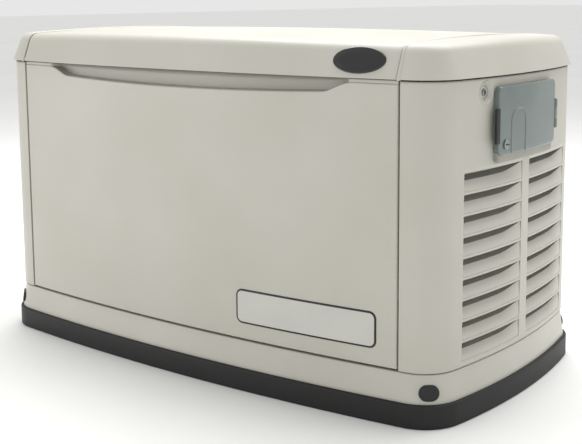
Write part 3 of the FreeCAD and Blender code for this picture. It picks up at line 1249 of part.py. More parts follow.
def make_battery():
    x0, x1 = c.battery_left, c.battery_left + c.battery_length
    y0, y1 = c.battery_front, c.battery_front + c.battery_width
    low, high = c.floor_top + c.tray_wall, c.floor_top + c.tray_wall + c.battery_height
    gap = c.battery_clearance
    lip = c.tray_wall
    tray = box(x0 - gap - lip, x1 + gap + lip, y0 - gap - lip, y1 + gap + lip, c.floor_top,
               low + c.tray_lip)
    tray = cut(tray, box(x0 - gap, x1 + gap, y0 - gap, y1 + gap, low, low + c.tray_lip))
    case = rounded_box(x0, x1, y0, y1, low, high, c.battery_rib / 2, "Z")
    rim_low = high - c.rim_low
    rim = rounded_box(x0 - gap / 2, x1 + gap / 2, y0 - gap / 2, y1 + gap / 2, rim_low,
                      rim_low + c.rim_wall, c.battery_rib / 2, "Z")
    back = y1 - c.terminal_inset
    posts = [rod("Z", x, back, high, c.terminal_radius, c.terminal_height)
             for x in (x0 + c.terminal_inset, x1 - c.terminal_inset)]
    node("battery", group(fuse(case, rim), *posts))
    middle = (x0 + x1) / 2
    half = c.strap_width / 2
    wall = c.strap_wall
    outer = box(middle - half, middle + half, y0 - gap - wall, y1 + gap + wall, low + c.tray_lip,
                high + wall)
    inner = box(middle - half, middle + half, y0 - gap, y1 + gap, low, high)
    node("battery_tray", group(tray, cut(outer, inner)))


def make_controls():
    x0, x1 = c.control_left, c.control_right
    y0, y1 = c.control_front, c.control_rear
    low, high, wall = c.control_low, c.control_high, c.control_wall
    room = box(x0 + wall, x1 - wall, y0 + wall, y1 - wall, low + wall, high)
    node("control_box", cut(box(x0, x1, y0, y1, low, high), room))
    back = x0 - c.divider_wall
    wall_sheet = box(back, x0, -c.divider_half_width, c.divider_half_width, c.floor_top, c.divider_high)
    drive = rod("X", back, 0, c.shaft_height, c.drive_hole_radius, c.divider_wall)
    hose_hole = rod("X", back, c.hose_place, c.hose_height, c.hose_hole_radius, c.divider_wall)
    divider = cut(wall_sheet, drive, hose_hole)
    top = high + c.face_wall
    middle_y = (y0 + y1) / 2
    display_x = x0 + c.key_pitch
    display_y = y1 - c.key_pitch - c.display_width
    window = box(display_x, display_x + c.display_length, display_y, display_y + c.display_width,
                 top - c.display_wall, top)
    key_y = y0 + c.key_inset
    keys, key_holes = [], []
    names = ("key_escape", "key_down", "key_up", "key_enter")
    for i, name in enumerate(names):
        x = display_x + c.key_length / 2 + i * c.key_pitch
        half_x, half_y = c.key_length / 2, c.key_width / 2
        gap = c.key_clearance
        key_holes.append(box(x - half_x - gap, x + half_x + gap, key_y - half_y - gap,
                             key_y + half_y + gap, high, top))
        cap = rounded_box(x - half_x, x + half_x, key_y - half_y, key_y + half_y, high - gap,
                          top + c.key_proud, c.key_lip, "Z")
        lip = box(x - half_x - c.key_lip, x + half_x + c.key_lip, key_y - half_y - c.key_lip,
                  key_y + half_y + c.key_lip, high - gap - c.key_depth, high - gap)
        keys.append((name, fuse(cap, lip)))
    switch_x = x1 - c.switch_inset
    radius = c.rocker_switch_width / 2
    length = c.rocker_switch_length
    axis_z = high + c.face_wall / 2
    half_x, half_y = length / 2 + c.key_clearance, radius + c.key_clearance
    switch_hole = box(switch_x - half_x, switch_x + half_x, middle_y - half_y, middle_y + half_y, high, top)
    pivot = c.key_proud / 2
    arm = length / 2 + c.key_lip * 2
    pivot_hole = rod("X", switch_x - arm, middle_y, axis_z, pivot + c.hinge_fit, 2 * arm)
    face = cut(box(x0, x1, y0, y1, high, top), window, switch_hole, pivot_hole, *key_holes)
    fuse_holder = fuse(rod("Z", switch_x, key_y, top, c.fuse_radius, c.fuse_height),
                       rod("Z", switch_x, key_y, top, c.fuse_foot_radius, c.fuse_height / 3))
    node("control_face", group(face, fuse_holder))
    node("display_window", fuse(window))
    for name, piece in keys:
        node(name, piece)
    drum = rod("X", switch_x - length / 2, middle_y, axis_z, radius, length)
    ridge = box(switch_x - length / 2, switch_x + length / 2, middle_y - c.key_lip, middle_y + c.key_lip,
                axis_z, axis_z + radius + c.key_proud)
    axle = rod("X", switch_x - arm, middle_y, axis_z, pivot, 2 * arm)
    node("mode_rocker", fuse(drum, ridge, axle))
    return divider


def make_fuel_train():
    x, y = c.regulator_place, c.regulator_back
    z = c.regulator_height
    radius, length = c.regulator_radius, c.regulator_length
    points = [(0, 0), (c.diaphragm_neck, 0), (radius, length / 3), (radius, length * 2 / 3),
              (c.diaphragm_cap, length), (0, length)]
    node("fuel_regulator", turned(points, x, y, z))
    out = c.rear_depth + c.inlet_proud
    level = c.inlet_height
    run = rod("Y", x, y, level, c.inlet_radius, out - y)
    rise = rod("Z", x, y, level, c.inlet_radius, z - level)
    ball = doc.addObject("Part::Sphere", "elbow")
    bind(ball, "Radius", c.inlet_radius)
    locate(ball, x, y, level)
    bore = rod("Y", x, y, level, c.inlet_bore, out - y)
    riser_bore = rod("Z", x, y, level, c.inlet_bore, z - level)
    collar = rod("Y", x, c.rear_depth, level, c.inlet_nut, c.inlet_proud / 3)
    node("fuel_inlet_pipe", cut(fuse(run, rise, ball, collar), bore, riser_bore))
    post = box(x - c.foot_height, x + c.foot_height, y - c.foot_height, y + c.foot_height,
               c.floor_top, level)
    pipe_space = fuse(rod("Y", x, y - c.foot_height * 2, level, c.inlet_radius, c.foot_height * 4))
    place, level = c.conduit_place, c.conduit_height
    start, length = c.rear_depth - c.conduit_length, 2 * c.conduit_length
    neck = c.conduit_collar - c.conduit_shoulder - c.hole_clearance
    flange = rod("Y", place, c.rear_depth, level, c.conduit_collar, c.conduit_length / 3)
    sleeve = rod("Y", place, start, level, neck, length)
    hole = rod("Y", place, start, level, c.conduit_bore, length)
    node("conduit_hub", cut(fuse(flange, sleeve), hole))
    return cut(post, pipe_space)


# ---------------------------------------------------------------- fuel hose

def route_edges(points):
    """Straight runs joined by arcs that touch them; each arc takes its share of the shorter run."""
    edges, radii = [], []
    start = points[0]
    for before, corner, after in zip(points, points[1:], points[2:]):
        arrive, leave = corner - before, after - corner
        half_turn = arrive.getAngle(leave) / 2
        trim = ROUND_SHARE * min(arrive.Length, leave.Length)
        radii.append(trim / math.tan(half_turn))
        arrive.normalize()
        leave.normalize()
        first, last = corner - arrive * trim, corner + leave * trim
        inward = leave - arrive
        inward.normalize()
        sag = corner + inward * (radii[-1] / math.cos(half_turn) - radii[-1])
        edges.append(Part.LineSegment(start, first).toShape())
        edges.append(Part.Arc(first, sag, last).toShape())
        start = last
    edges.append(Part.LineSegment(start, points[-1]).toShape())
    return edges, radii


def held_line(label, points, radius):
    """A hose held at both ends, swept whole along its route."""
    places = [FreeCAD.Vector(*[as_size(part).value for part in point]) for point in points]
    edges, radii = route_edges(places)
    wire = Part.Wire(edges)
    along = places[1] - places[0]
    ring = Part.Wire([Part.Circle(places[0], along, radius.value).toShape()])
    shape = wire.makePipeShell([ring], True, False)
    made = doc.addObject("Part::Feature", "line")
    made.Shape = shape
    section = math.pi * radius.value * radius.value
    print(label, "length", round(wire.Length, 1), "radii", [round(r, 1) for r in radii],
          "volume over section x length", round(shape.Volume / (section * wire.Length), 4))
    node(label, made)


def make_hose():
    """Fuel hose from the regulator, through the control wall and over the alternator to the mixer."""
    mixer_x = (c.barrel_front_place + c.barrel_rear_place) / 2 + c.mixer_radius
    x, y = c.regulator_place, c.regulator_back
    start = c.regulator_height + c.regulator_length
    level = (c.manifold_height + c.manifold_radius + c.air_box_low) / 2
    wall = c.control_left
    route = [(x, y, start), (x, y, start + 60), (x - 6, y, start + 115),
             (wall + 30, c.hose_place, c.hose_height), (wall - 30, c.hose_place, c.hose_height),
             (wall - 110, y - 40, level + 20), (120, 90, level + 6), (60, 52, level + 3),
             (0, 24, level), (-60, 6, level), (-110, 0, level), (mixer_x, 0, level)]
    held_line("fuel_hose", route, c.hose_radius)


def all_parts():
    make_pad()
    make_base()
    make_door()
    make_nameplate()
    make_side_panel("intake_side_panel", 1, hatch_box(0, c.half_length - c.hatch_depth, c.half_length * 2))
    make_side_panel("exhaust_side_panel", -1)
    lid_leaves, body_leaves = make_lid_hinges()
    make_rear_panel(body_leaves)
    make_lid(lid_leaves)
    make_badge()
    make_locks()
    make_breaker_bay()
    make_breaker()
    make_frame(make_alternator())
    make_crankcase(make_service_parts())
    make_intake(make_cylinders())
    make_rotating_parts()
    make_blower()
    make_starter()
    exhaust_divider, muffler_posts = make_exhaust()
    make_battery()
    control_divider = make_controls()
    regulator_post = make_fuel_train()
    node("divider_panels", group(exhaust_divider, control_divider))
    node("floor_brackets", group(muffler_posts, regulator_post))
    make_hose()


all_parts()
doc.recompute()

faults = [thing.Name for thing in doc.Objects if "Invalid" in thing.State or "Error" in thing.State]
for piece in NODES:
    if piece.Shape.isNull() or not piece.Shape.isValid() or not piece.Shape.Solids:
        faults.append(piece.Label)
if faults:
    raise RuntimeError("not valid after recompute: %s" % ", ".join(faults))

os.makedirs("parts", exist_ok=True)
for piece in NODES:
    piece.Shape.exportStep("parts/%s.step" % piece.Label)
    limits = piece.Shape.BoundBox
    print("%-24s %2d solids %10.1f cm3  x %7.1f %7.1f  y %7.1f %7.1f  z %6.1f %6.1f" % (
        piece.Label, len(piece.Shape.Solids), piece.Shape.Volume / 1e3, limits.XMin, limits.XMax,
        limits.YMin, limits.YMax, limits.ZMin, limits.ZMax))
print(len(NODES), "nodes")
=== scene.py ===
import json
import math

import bmesh
import bpy
import numpy as np
from mathutils import Matrix, Vector

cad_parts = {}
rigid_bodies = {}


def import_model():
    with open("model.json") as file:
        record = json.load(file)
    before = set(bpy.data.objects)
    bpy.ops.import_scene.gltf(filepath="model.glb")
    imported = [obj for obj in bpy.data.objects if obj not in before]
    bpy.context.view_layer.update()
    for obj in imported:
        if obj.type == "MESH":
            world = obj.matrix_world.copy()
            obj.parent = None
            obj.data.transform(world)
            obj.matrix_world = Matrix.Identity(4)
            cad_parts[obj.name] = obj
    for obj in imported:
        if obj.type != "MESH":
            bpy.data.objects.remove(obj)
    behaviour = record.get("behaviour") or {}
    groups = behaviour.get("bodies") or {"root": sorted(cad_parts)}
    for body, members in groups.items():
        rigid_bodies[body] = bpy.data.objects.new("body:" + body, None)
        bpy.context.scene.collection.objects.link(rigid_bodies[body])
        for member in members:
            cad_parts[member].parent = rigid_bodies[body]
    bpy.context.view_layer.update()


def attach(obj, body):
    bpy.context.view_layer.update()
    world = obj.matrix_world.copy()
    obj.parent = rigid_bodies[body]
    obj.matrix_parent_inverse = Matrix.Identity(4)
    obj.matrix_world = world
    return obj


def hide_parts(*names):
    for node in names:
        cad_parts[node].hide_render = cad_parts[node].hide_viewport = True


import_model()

# Home standby generator.  Working values are millimetres; meshes are written in metres.
# X runs along the front, +X to the right, -Y is the front, +Z is up.
MM = 0.001

# ---------------------------------------------------------------- enclosure plan

HALF_LENGTH = 604.0
FRONT_DEPTH = 310.2
REAR_DEPTH = 310.2
FRONT_BOW = 39.1
SIDE_BOW = 39.3
SIDE_HALF_CHORD = 320.4
SIDE_SHIFT = 10.2
CORNER = 76.4
FRONT_R = (HALF_LENGTH ** 2 + FRONT_BOW ** 2) / (2 * FRONT_BOW)
SIDE_R = (SIDE_HALF_CHORD ** 2 + SIDE_BOW ** 2) / (2 * SIDE_BOW)
FRONT_C = FRONT_R - FRONT_DEPTH
SIDE_C = HALF_LENGTH - SIDE_R

PAD_TOP = 45.0
PANEL_LOW = 100.0
PANEL_TOP = 627.0
PANEL_EDGE = 504.7          # where the end panels meet the door and the rear panel
DOOR_HALF = 500.3
DOOR_LOW = 103.0
LID_LOW = 629.8
LID_OUT = 5.5               # overhang of the lid's lower edge
LID_SLOPE = 0.4             # how far the lid's wall draws in for each millimetre it rises
LID_ROUND = 26.0
LID_TOP = 702.0
CROWN_X = 52000.0           # the lid's top falls by x squared over this
CROWN_Y = 10400.0
SEAM = 501.0                # between the lid's skin and its moulded ends
CENTRE = (0, 0, 350)        # a point well inside the enclosure
FLANGE = 14.0               # depth of the sheets' turned-in edges
SHEET_WALL = 1.2


def front_y(x, e=0.0):
    """Front wall at x, grown outwards by e: a circle arc about the point far behind the middle."""
    return FRONT_C - np.sqrt((FRONT_R + e) ** 2 - np.square(x))


def side_x(y, e=0.0):
    """Right-hand wall at y, grown outwards by e: a circle arc about a point far to the left."""
    return SIDE_C + np.sqrt((SIDE_R + e) ** 2 - np.square(y - SIDE_SHIFT))


def front_corner():
    """Centre of the round that touches the front and side arcs from inside (two circles' crossing)."""
    near, far = FRONT_R - CORNER, SIDE_R - CORNER
    run = np.array([SIDE_C, SIDE_SHIFT - FRONT_C])
    apart = math.hypot(*run)
    along = (near ** 2 - far ** 2 + apart ** 2) / (2 * apart)
    across = math.sqrt(near ** 2 - along ** 2)
    unit = run / apart
    return np.array([0.0, FRONT_C]) + along * unit + across * np.array([-unit[1], unit[0]])


CORNER_FRONT = front_corner()
REAR_RISE = REAR_DEPTH - CORNER - SIDE_SHIFT
CORNER_REAR = np.array([SIDE_C + math.sqrt((SIDE_R - CORNER) ** 2 - REAR_RISE ** 2), REAR_DEPTH - CORNER])


def arc(centre, radius, start, stop, count):
    """Points and outward normals of a circle arc."""
    angle = np.linspace(start, stop, count)
    normal = np.stack([np.cos(angle), np.sin(angle)], 1)
    return np.array(centre) + radius * normal, normal


CORNER_STEPS = 20
SIDE_STEPS = 80


def half_path(start_x, side_breaks=(), front_steps=24):
    """Right half of the plan, from x = start_x on the front round to start_x on the rear.

    Front arc, corner round, side arc, rear corner round, rear flat; base points and outward normals.
    """
    to_front = math.atan2(CORNER_FRONT[1] - FRONT_C, CORNER_FRONT[0])
    to_side = math.atan2(CORNER_FRONT[1] - SIDE_SHIFT, CORNER_FRONT[0] - SIDE_C)
    to_rear = math.atan2(REAR_RISE, CORNER_REAR[0] - SIDE_C)
    begin = -math.pi / 2 + math.asin(start_x / FRONT_R)
    front = arc((0, FRONT_C), FRONT_R, begin, to_front, front_steps)
    corner = arc(CORNER_FRONT, CORNER, to_front, to_side, CORNER_STEPS)
    ends = [SIDE_SHIFT + SIDE_R * math.sin(angle) for angle in (to_side, to_rear)]
    y = np.unique(np.concatenate([np.linspace(*ends, SIDE_STEPS), side_breaks]))
    side_points = np.stack([side_x(y), y], 1)
    side_normals = (side_points - [SIDE_C, SIDE_SHIFT]) / SIDE_R
    rear_corner = arc(CORNER_REAR, CORNER, to_rear, math.pi / 2, CORNER_STEPS)
    rear_x = np.linspace(CORNER_REAR[0], start_x, max(2, front_steps // 2))
    rear = np.stack([rear_x, np.full_like(rear_x, REAR_DEPTH)], 1)
    points = np.concatenate([front[0], corner[0][1:], side_points[1:], rear_corner[0][1:], rear[1:]])
    normals = np.concatenate([front[1], corner[1][1:], side_normals[1:], rear_corner[1][1:],
                              np.tile([0.0, 1.0], (len(rear) - 1, 1))])
    return points, normals


def full_path():
    """The whole plan: the right half, then its mirror image walked backwards."""
    points, normals = half_path(0.0)
    flip = np.array([-1.0, 1.0])
    return (np.concatenate([points, (points * flip)[::-1][1:-1]]),
            np.concatenate([normals, (normals * flip)[::-1][1:-1]]))


# ---------------------------------------------------------------- mesh helpers

def grid_faces(rows, columns, close_rows=False, close_columns=False):
    """Quads of a grid of vertices numbered row by row."""
    i = np.arange(rows if close_rows else rows - 1)
    j = np.arange(columns if close_columns else columns - 1)
    i, j = np.meshgrid(i, j, indexing="ij")
    n, m = (i + 1) % rows, (j + 1) % columns
    corners = [i * columns + j, n * columns + j, n * columns + m, i * columns + m]
    return np.stack(corners, -1).reshape(-1, 4)


def sheet(points, close_rows=False, close_columns=False, keep=None, away_from=None):
    """A grid of points (rows, columns, 3) as vertices and quads that face away from a point."""
    rows, columns = points.shape[:2]
    verts = points.reshape(-1, 3)
    faces = grid_faces(rows, columns, close_rows, close_columns)
    if keep is not None:
        faces = faces[keep(verts[faces].mean(1))]
    corners = verts[faces]
    normal = np.cross(corners[:, 2] - corners[:, 0], corners[:, 3] - corners[:, 1])
    middle = corners.mean(1)
    reference = middle.mean(0) if away_from is None else np.array(away_from)
    if (normal * (middle - reference)).sum() < 0:
        faces = faces[:, ::-1]
    return verts, faces


def join(*parts):
    """Several (vertices, faces) parts as one."""
    verts, faces, start = [], [], 0
    for v, f in parts:
        verts.append(v)
        faces.append(f + start)
        start += len(v)
    return np.concatenate(verts), np.concatenate(faces)


def mirror_x(part):
    """The part on the other side of the enclosure, its faces still outwards."""
    verts, faces = part
    return verts * [-1, 1, 1], faces[:, ::-1]


WELD_GAP = 0.02             # vertices closer than this are one
SHARP_TURN = math.radians(38)


def piece(name, part, material, body, nodes=(), wall=0.0):
    """Write one part as a mesh object, finish its wall, and hang it on its CAD body."""
    verts, faces = part
    mesh = bpy.data.meshes.new(name)
    mesh.from_pydata((verts * MM).tolist(), [], faces.tolist())
    obj = bpy.data.objects.new(name, mesh)
    bpy.context.collection.objects.link(obj)
    weld(mesh, WELD_GAP * MM)
    mesh.shade_smooth()
    mesh.materials.append(material)
    if wall:
        solid = obj.modifiers.new("wall", "SOLIDIFY")
        solid.thickness = wall * MM
        solid.offset = -1.0
    if nodes:
        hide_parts(*nodes)
    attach(obj, body)


def weld(mesh, distance):
    """Merge doubled vertices and keep the turned edges crisp."""
    work = bmesh.new()
    work.from_mesh(mesh)
    bmesh.ops.remove_doubles(work, verts=work.verts, dist=distance)
    bmesh.ops.dissolve_degenerate(work, dist=distance, edges=work.edges)
    for edge in work.edges:
        if len(edge.link_faces) == 2 and edge.calc_face_angle(0.0) > SHARP_TURN:
            edge.smooth = False
    work.to_mesh(mesh)
    work.free()


def swept(path, profile, close_profile=True):
    """A profile of (outward offset, height) carried round the plan."""
    points, normals = path
    e, z = np.array(profile, float).T
    xy = points[:, None, :] + e[None, :, None] * normals[:, None, :]
    grid = np.concatenate([xy, np.broadcast_to(z[None, :, None], (*xy.shape[:2], 1))], 2)
    return sheet(grid, True, close_profile, away_from=CENTRE)


def quarter(cx, cz, radius, start, stop, steps=6):
    """Points of a profile's rounding, in degrees."""
    a = np.radians(np.linspace(start, stop, steps))
    return [(cx + radius * math.cos(t), cz + radius * math.sin(t)) for t in a]


OUTLINE_ARC = 8             # points on each round of an outline
OUTLINE_SIDE = 14           # points along each straight side


def rounded_outline(width, height, corner):
    """A rectangle with round corners, anticlockwise from its right side, its straight sides divided."""
    corner = min(corner, width / 2 - 0.01, height / 2 - 0.01)
    arcs = []
    for k, (sx, sy) in enumerate(((1, 1), (-1, 1), (-1, -1), (1, -1))):
        a = np.radians(90 * k + np.linspace(0, 90, OUTLINE_ARC))
        arcs.append(np.stack([sx * (width / 2 - corner) + corner * np.cos(a),
                              sy * (height / 2 - corner) + corner * np.sin(a)], 1))
    t = np.linspace(0, 1, OUTLINE_SIDE + 2)[1:-1, None]
    parts = []
    for here, there in zip(arcs, arcs[1:] + arcs[:1]):
        parts += [here, here[-1] * (1 - t) + there[0] * t]
    return np.concatenate(parts)


FAN = (0.8, 0.6, 0.4, 0.2, 0.0)            # a plate's faces close in these shares towards the middle
LEAST_CORNER = 0.3


def plate(width, height, corner, rings, place, outline=rounded_outline):
    """A closed plate: outlines drawn in by 'inset' at each 'rise', ended by a point back and front."""
    layers = []
    for inset, rise in rings:
        shape = outline(width - 2 * inset, height - 2 * inset, max(corner - inset, LEAST_CORNER))
        layers.append(np.concatenate([shape, np.full((len(shape), 1), rise)], 1))
    first, last = layers[0].copy(), layers[-1].copy()
    for scale in FAN:
        layers.insert(0, np.concatenate([first[:, :2] * scale, first[:, 2:]], 1))
        layers.append(np.concatenate([last[:, :2] * scale, last[:, 2:]], 1))
    local = np.stack(layers, 1)
    world = place(local[..., 0], local[..., 1], local[..., 2])
    return sheet(world, close_rows=True)


def ellipse_outline(width, height, _corner):
    """Points of an ellipse, anticlockwise from its right side."""
    a = np.linspace(0, 2 * math.pi, 64, endpoint=False)
    return np.stack([width / 2 * np.cos(a), height / 2 * np.sin(a)], 1)


def on_side(middle_y, middle_z):
    """Places a plate's (across, up, rise) on the right-hand wall, across running towards the front."""
    def place(across, up, rise):
        y = middle_y - across
        x = side_x(y)
        nx, ny = (x - SIDE_C) / SIDE_R, (y - SIDE_SHIFT) / SIDE_R
        return np.stack([x + rise * nx, y + rise * ny, middle_z + up], -1)
    return place


def on_front(middle_x, middle_z):
    """Places a plate on the front wall, across running to the right."""
    def place(across, up, rise):
        x = middle_x + across
        y = front_y(x)
        nx, ny = x / FRONT_R, (y - FRONT_C) / FRONT_R
        return np.stack([x + rise * nx, y + rise * ny, middle_z + up], -1)
    return place


def on_fascia(middle_x, middle_z):
    """Places a plate on the lid's leaning front."""
    lean = math.atan(LID_SLOPE)

    def place(across, up, rise):
        x = middle_x + across
        z = middle_z + up * math.cos(lean)
        e = LID_OUT - LID_SLOPE * (z - LID_LOW) + rise * math.cos(lean)
        return np.stack([x, front_y(x, e), z + rise * math.sin(lean)], -1)
    return place


def on_plane(origin, across_axis, up_axis, out_axis):
    """Places a plate on a flat plane through a point."""
    def place(across, up, rise):
        axes = np.array([across_axis, up_axis, out_axis], float)
        return np.array(origin) + np.stack([across, up, rise], -1) @ axes
    return place


def turned(profile, origin, axis, steps=40):
    """A (radius, height) profile turned about an axis."""
    out = Vector(axis).normalized()
    across = out.orthogonal().normalized()
    up = out.cross(across)
    angle = np.linspace(0, 2 * math.pi, steps, endpoint=False)
    r, h = np.array(profile, float).T
    grid = (np.array(origin) + np.cos(angle)[:, None, None] * r[None, :, None] * np.array(across)
            + np.sin(angle)[:, None, None] * r[None, :, None] * np.array(up)
            + h[None, :, None] * np.array(out))
    return sheet(grid, close_rows=True)


def block(x0, x1, y0, y1, z0, z1):
    """The six faces of a straight-sided bar."""
    verts = np.array([(x, y, z) for x in (x0, x1) for y in (y0, y1) for z in (z0, z1)], float)
    faces = np.array([(0, 1, 3, 2), (4, 6, 7, 5), (0, 4, 5, 1), (2, 3, 7, 6), (0, 2, 6, 4), (1, 5, 7, 3)])
    return verts, faces


# ---------------------------------------------------------------- materials

def linear(hex_colour):
    """sRGB hex to linear RGBA, by the standard's own curve."""
    value = [int(hex_colour[i:i + 2], 16) / 255 for i in (1, 3, 5)]
    return [v / 12.92 if v <= 0.04045 else ((v + 0.055) / 1.055) ** 2.4 for v in value] + [1.0]


def add(tree, kind, links=(), **settings):
    """Add a node; settings go on its inputs or properties, links are (input, source socket)."""
    made = tree.nodes.new(kind)
    for key, value in settings.items():
        if key in made.inputs:
            made.inputs[key].default_value = value
        elif key.replace("_", " ") in made.inputs:
            made.inputs[key.replace("_", " ")].default_value = value
        else:
            setattr(made, key, value)
    for name, source in links:
        tree.links.new(source, made.inputs[name])
    return made


DRIFT_FROM, DRIFT_TO = 0.35, 0.68      # the noise values between which the two shades blend
GRAIN_DEPTH = 0.3                      # height of the grain as a share of its width


def finish(name, colour, second, patch_mm, grain_mm, roughness, bump, metallic=0.0, coat=0.0,
           transmission=0.0, ior=None, rough_spread=0.08):
    """A surface with a slow drift between two shades and a fine grain in its height and gloss.

    patch_mm and grain_mm are the widths of the drift's patches and of the grain.
    """
    material = bpy.data.materials.new(name)
    material.use_nodes = True
    tree = material.node_tree
    shader = tree.nodes["Principled BSDF"]
    where = add(tree, "ShaderNodeTexCoord").outputs["Object"]
    drift = add(tree, "ShaderNodeTexNoise", [("Vector", where)], Scale=1 / (patch_mm * MM), Detail=3.0)
    grain = add(tree, "ShaderNodeTexNoise", [("Vector", where)], Scale=1 / (grain_mm * MM), Detail=2.0)
    ramp = add(tree, "ShaderNodeValToRGB", [("Fac", drift.outputs["Fac"])])
    shades = ((DRIFT_FROM, colour), (DRIFT_TO, second))
    for stop, (position, shade) in zip(ramp.color_ramp.elements, shades):
        stop.position = position
        stop.color = linear(shade)
    gloss = add(tree, "ShaderNodeMapRange", [("Value", grain.outputs["Fac"])])
    gloss.inputs["To Min"].default_value = roughness - rough_spread
    gloss.inputs["To Max"].default_value = roughness + rough_spread
    height = add(tree, "ShaderNodeBump", [("Height", grain.outputs["Fac"])], Strength=bump)
    height.inputs["Distance"].default_value = grain_mm * MM * GRAIN_DEPTH
    tree.links.new(ramp.outputs["Color"], shader.inputs["Base Color"])
    tree.links.new(gloss.outputs["Result"], shader.inputs["Roughness"])
    tree.links.new(height.outputs["Normal"], shader.inputs["Normal"])
    shader.inputs["Metallic"].default_value = metallic
    shader.inputs["Coat Weight"].default_value = coat
    shader.inputs["Transmission Weight"].default_value = transmission
    if ior:
        shader.inputs["IOR"].default_value = ior
    return material


MATERIALS = {
    # polyester powder coat on sheet: warm beige-grey, a fine orange peel that softens its highlights
    "beige_powder_coat": finish("beige_powder_coat", "#bebcb2", "#b8b6ab", 260, 3.0, 0.40, 0.10, ior=1.5),
    # filled polymer pad, rough moulded: near-black with a dull top
    "pad_composite": finish("pad_composite", "#060607", "#040404", 90, 2.4, 0.55, 0.30),
    # moulded ABS: black, fine grain
    "black_moulding": finish("black_moulding", "#101113", "#0b0c0d", 60, 1.5, 0.42, 0.15),
    # satin film over a stamped plate: warm light grey, smoother than the door round it
    "nameplate_film": finish("nameplate_film", "#c4c3bc", "#bebdb6", 120, 1.5, 0.30, 0.04),
    # cast resin dome on the badge: deep gloss black
    "badge_plastic": finish("badge_plastic", "#060608", "#040405", 60, 2.0, 0.16, 0.02, coat=0.4),
    # die-cast zinc: satin grey metal
    "lock_zinc": finish("lock_zinc", "#9a9da0", "#84878a", 14, 0.9, 0.36, 0.12, metallic=1.0),
    # moulded polycarbonate frame: putty grey-beige
    "bezel_plastic": finish("bezel_plastic", "#98978c", "#8f8e84", 70, 1.6, 0.48, 0.10),
    # smoked acrylic cover: blue-grey and slightly see-through
    "smoked_cover": finish("smoked_cover", "#77837f", "#6d7978", 120, 4.0, 0.20, 0.02, coat=0.3,
                           transmission=0.12, ior=1.49, rough_spread=0.04),
    # galvanised sheet: spangled zinc
    "zinc_sheet": finish("zinc_sheet", "#b4b8ba", "#8f9497", 16, 1.2, 0.38, 0.08, metallic=0.9),
    # moulded thermoset breaker case: black with a low sheen
    "breaker_bakelite": finish("breaker_bakelite", "#202124", "#191a1c", 30, 1.0, 0.36, 0.10),
    # clear green moulded lens: bright and glossy
    "light_lens": finish("light_lens", "#3f9a4a", "#2f8a3c", 6, 1.0, 0.18, 0.02, coat=0.5),
    # brushed-on chassis enamel: black, slightly uneven
    "chassis_paint": finish("chassis_paint", "#242629", "#1a1b1d", 45, 2.0, 0.40, 0.16),
    # moulded rubber feet: black, dull and dusty
    "isolator_rubber": finish("isolator_rubber", "#1c1c1c", "#121212", 20, 1.2, 0.72, 0.25),
    # sand-cast aluminium: bright grey with a pebbled skin
    "cast_aluminium": finish("cast_aluminium", "#b3b5b6", "#999c9e", 28, 2.2, 0.46, 0.38, metallic=0.85),
    # machined cast iron: mid grey with turned grain
    "fan_iron": finish("fan_iron", "#5b5c5e", "#454648", 24, 1.6, 0.44, 0.25, metallic=0.8),
    # ground shaft steel: bright with a tight highlight
    "shaft_steel": finish("shaft_steel", "#b9bcc0", "#a4a7ab", 18, 0.8, 0.26, 0.05, metallic=1.0),
    # varnished stator laminations: dark red-brown over grey
    "winding_core": finish("winding_core", "#6b4030", "#4a3a34", 12, 1.4, 0.38, 0.22, metallic=0.4),
    # gloss enamel on the oil filter's drawn can: off-white
    "filter_paint": finish("filter_paint", "#d8d6cc", "#cfccc0", 40, 1.6, 0.24, 0.04, coat=0.4),
    # injection-moulded handle: safety yellow
    "dipstick_plastic": finish("dipstick_plastic", "#d8a51c", "#c99614", 20, 1.2, 0.32, 0.06),
    # moulded rubber boots on the ignition leads: black, half dull
    "ceramic_lead": finish("ceramic_lead", "#232325", "#171718", 20, 1.2, 0.55, 0.20),
    # aluminised exhaust steel with straw and brown heat tints
    "exhaust_steel": finish("exhaust_steel", "#a39a8b", "#6f6152", 55, 1.8, 0.42, 0.18, metallic=0.9),
    # moulded polypropylene battery case: near-black, satin
    "battery_case": finish("battery_case", "#232428", "#1a1b1e", 50, 1.4, 0.44, 0.14),
    # textured moulding of the controls and air box: charcoal
    "control_plastic": finish("control_plastic", "#34363a", "#2a2c2f", 50, 1.2, 0.46, 0.16),
    # clear window over an unlit display: grey-green with sharp reflections
    "display_glass": finish("display_glass", "#5f7058", "#556650", 30, 3.0, 0.10, 0.01, coat=0.7),
    # moulded key caps: mid grey
    "key_plastic": finish("key_plastic", "#8f9194", "#86888b", 12, 0.8, 0.42, 0.08),
    # die-cast regulator body: dull light grey
    "regulator_zinc": finish("regulator_zinc", "#a8a9a4", "#8e8f8b", 20, 1.4, 0.40, 0.24, metallic=0.9),
    # black iron pipe: dark with a scaly grain
    "fuel_pipe": finish("fuel_pipe", "#37383a", "#2a2b2d", 22, 1.6, 0.50, 0.28, metallic=0.6),
    # extruded fuel hose: black, slightly bloomed
    "hose_rubber": finish("hose_rubber", "#1d1d1e", "#141415", 18, 1.2, 0.60, 0.20),
    # painted shade: flat dark plates that stand in for the shaded depth of the key slots and the latch
    # screw's slot
    "slot_shadow": finish("slot_shadow", "#121212", "#0c0c0c", 10, 1.0, 0.70, 0.10),
    # studio floor: plain and pale
    "studio_floor": finish("studio_floor", "#f4f4f2", "#f1f1ef", 900, 30.0, 0.75, 0.0),
}
BEIGE = MATERIALS["beige_powder_coat"]


def paint_nodes():
    """Every CAD node takes the finish of its material slot."""
    for obj in bpy.data.objects:
        if obj.type == "MESH" and obj.data.materials:
            slot = obj.data.materials[0].name.split(".")[0]
            if slot in MATERIALS:
                obj.data.materials[0] = MATERIALS[slot]


paint_nodes()


# ---------------------------------------------------------------- pad, base and panels

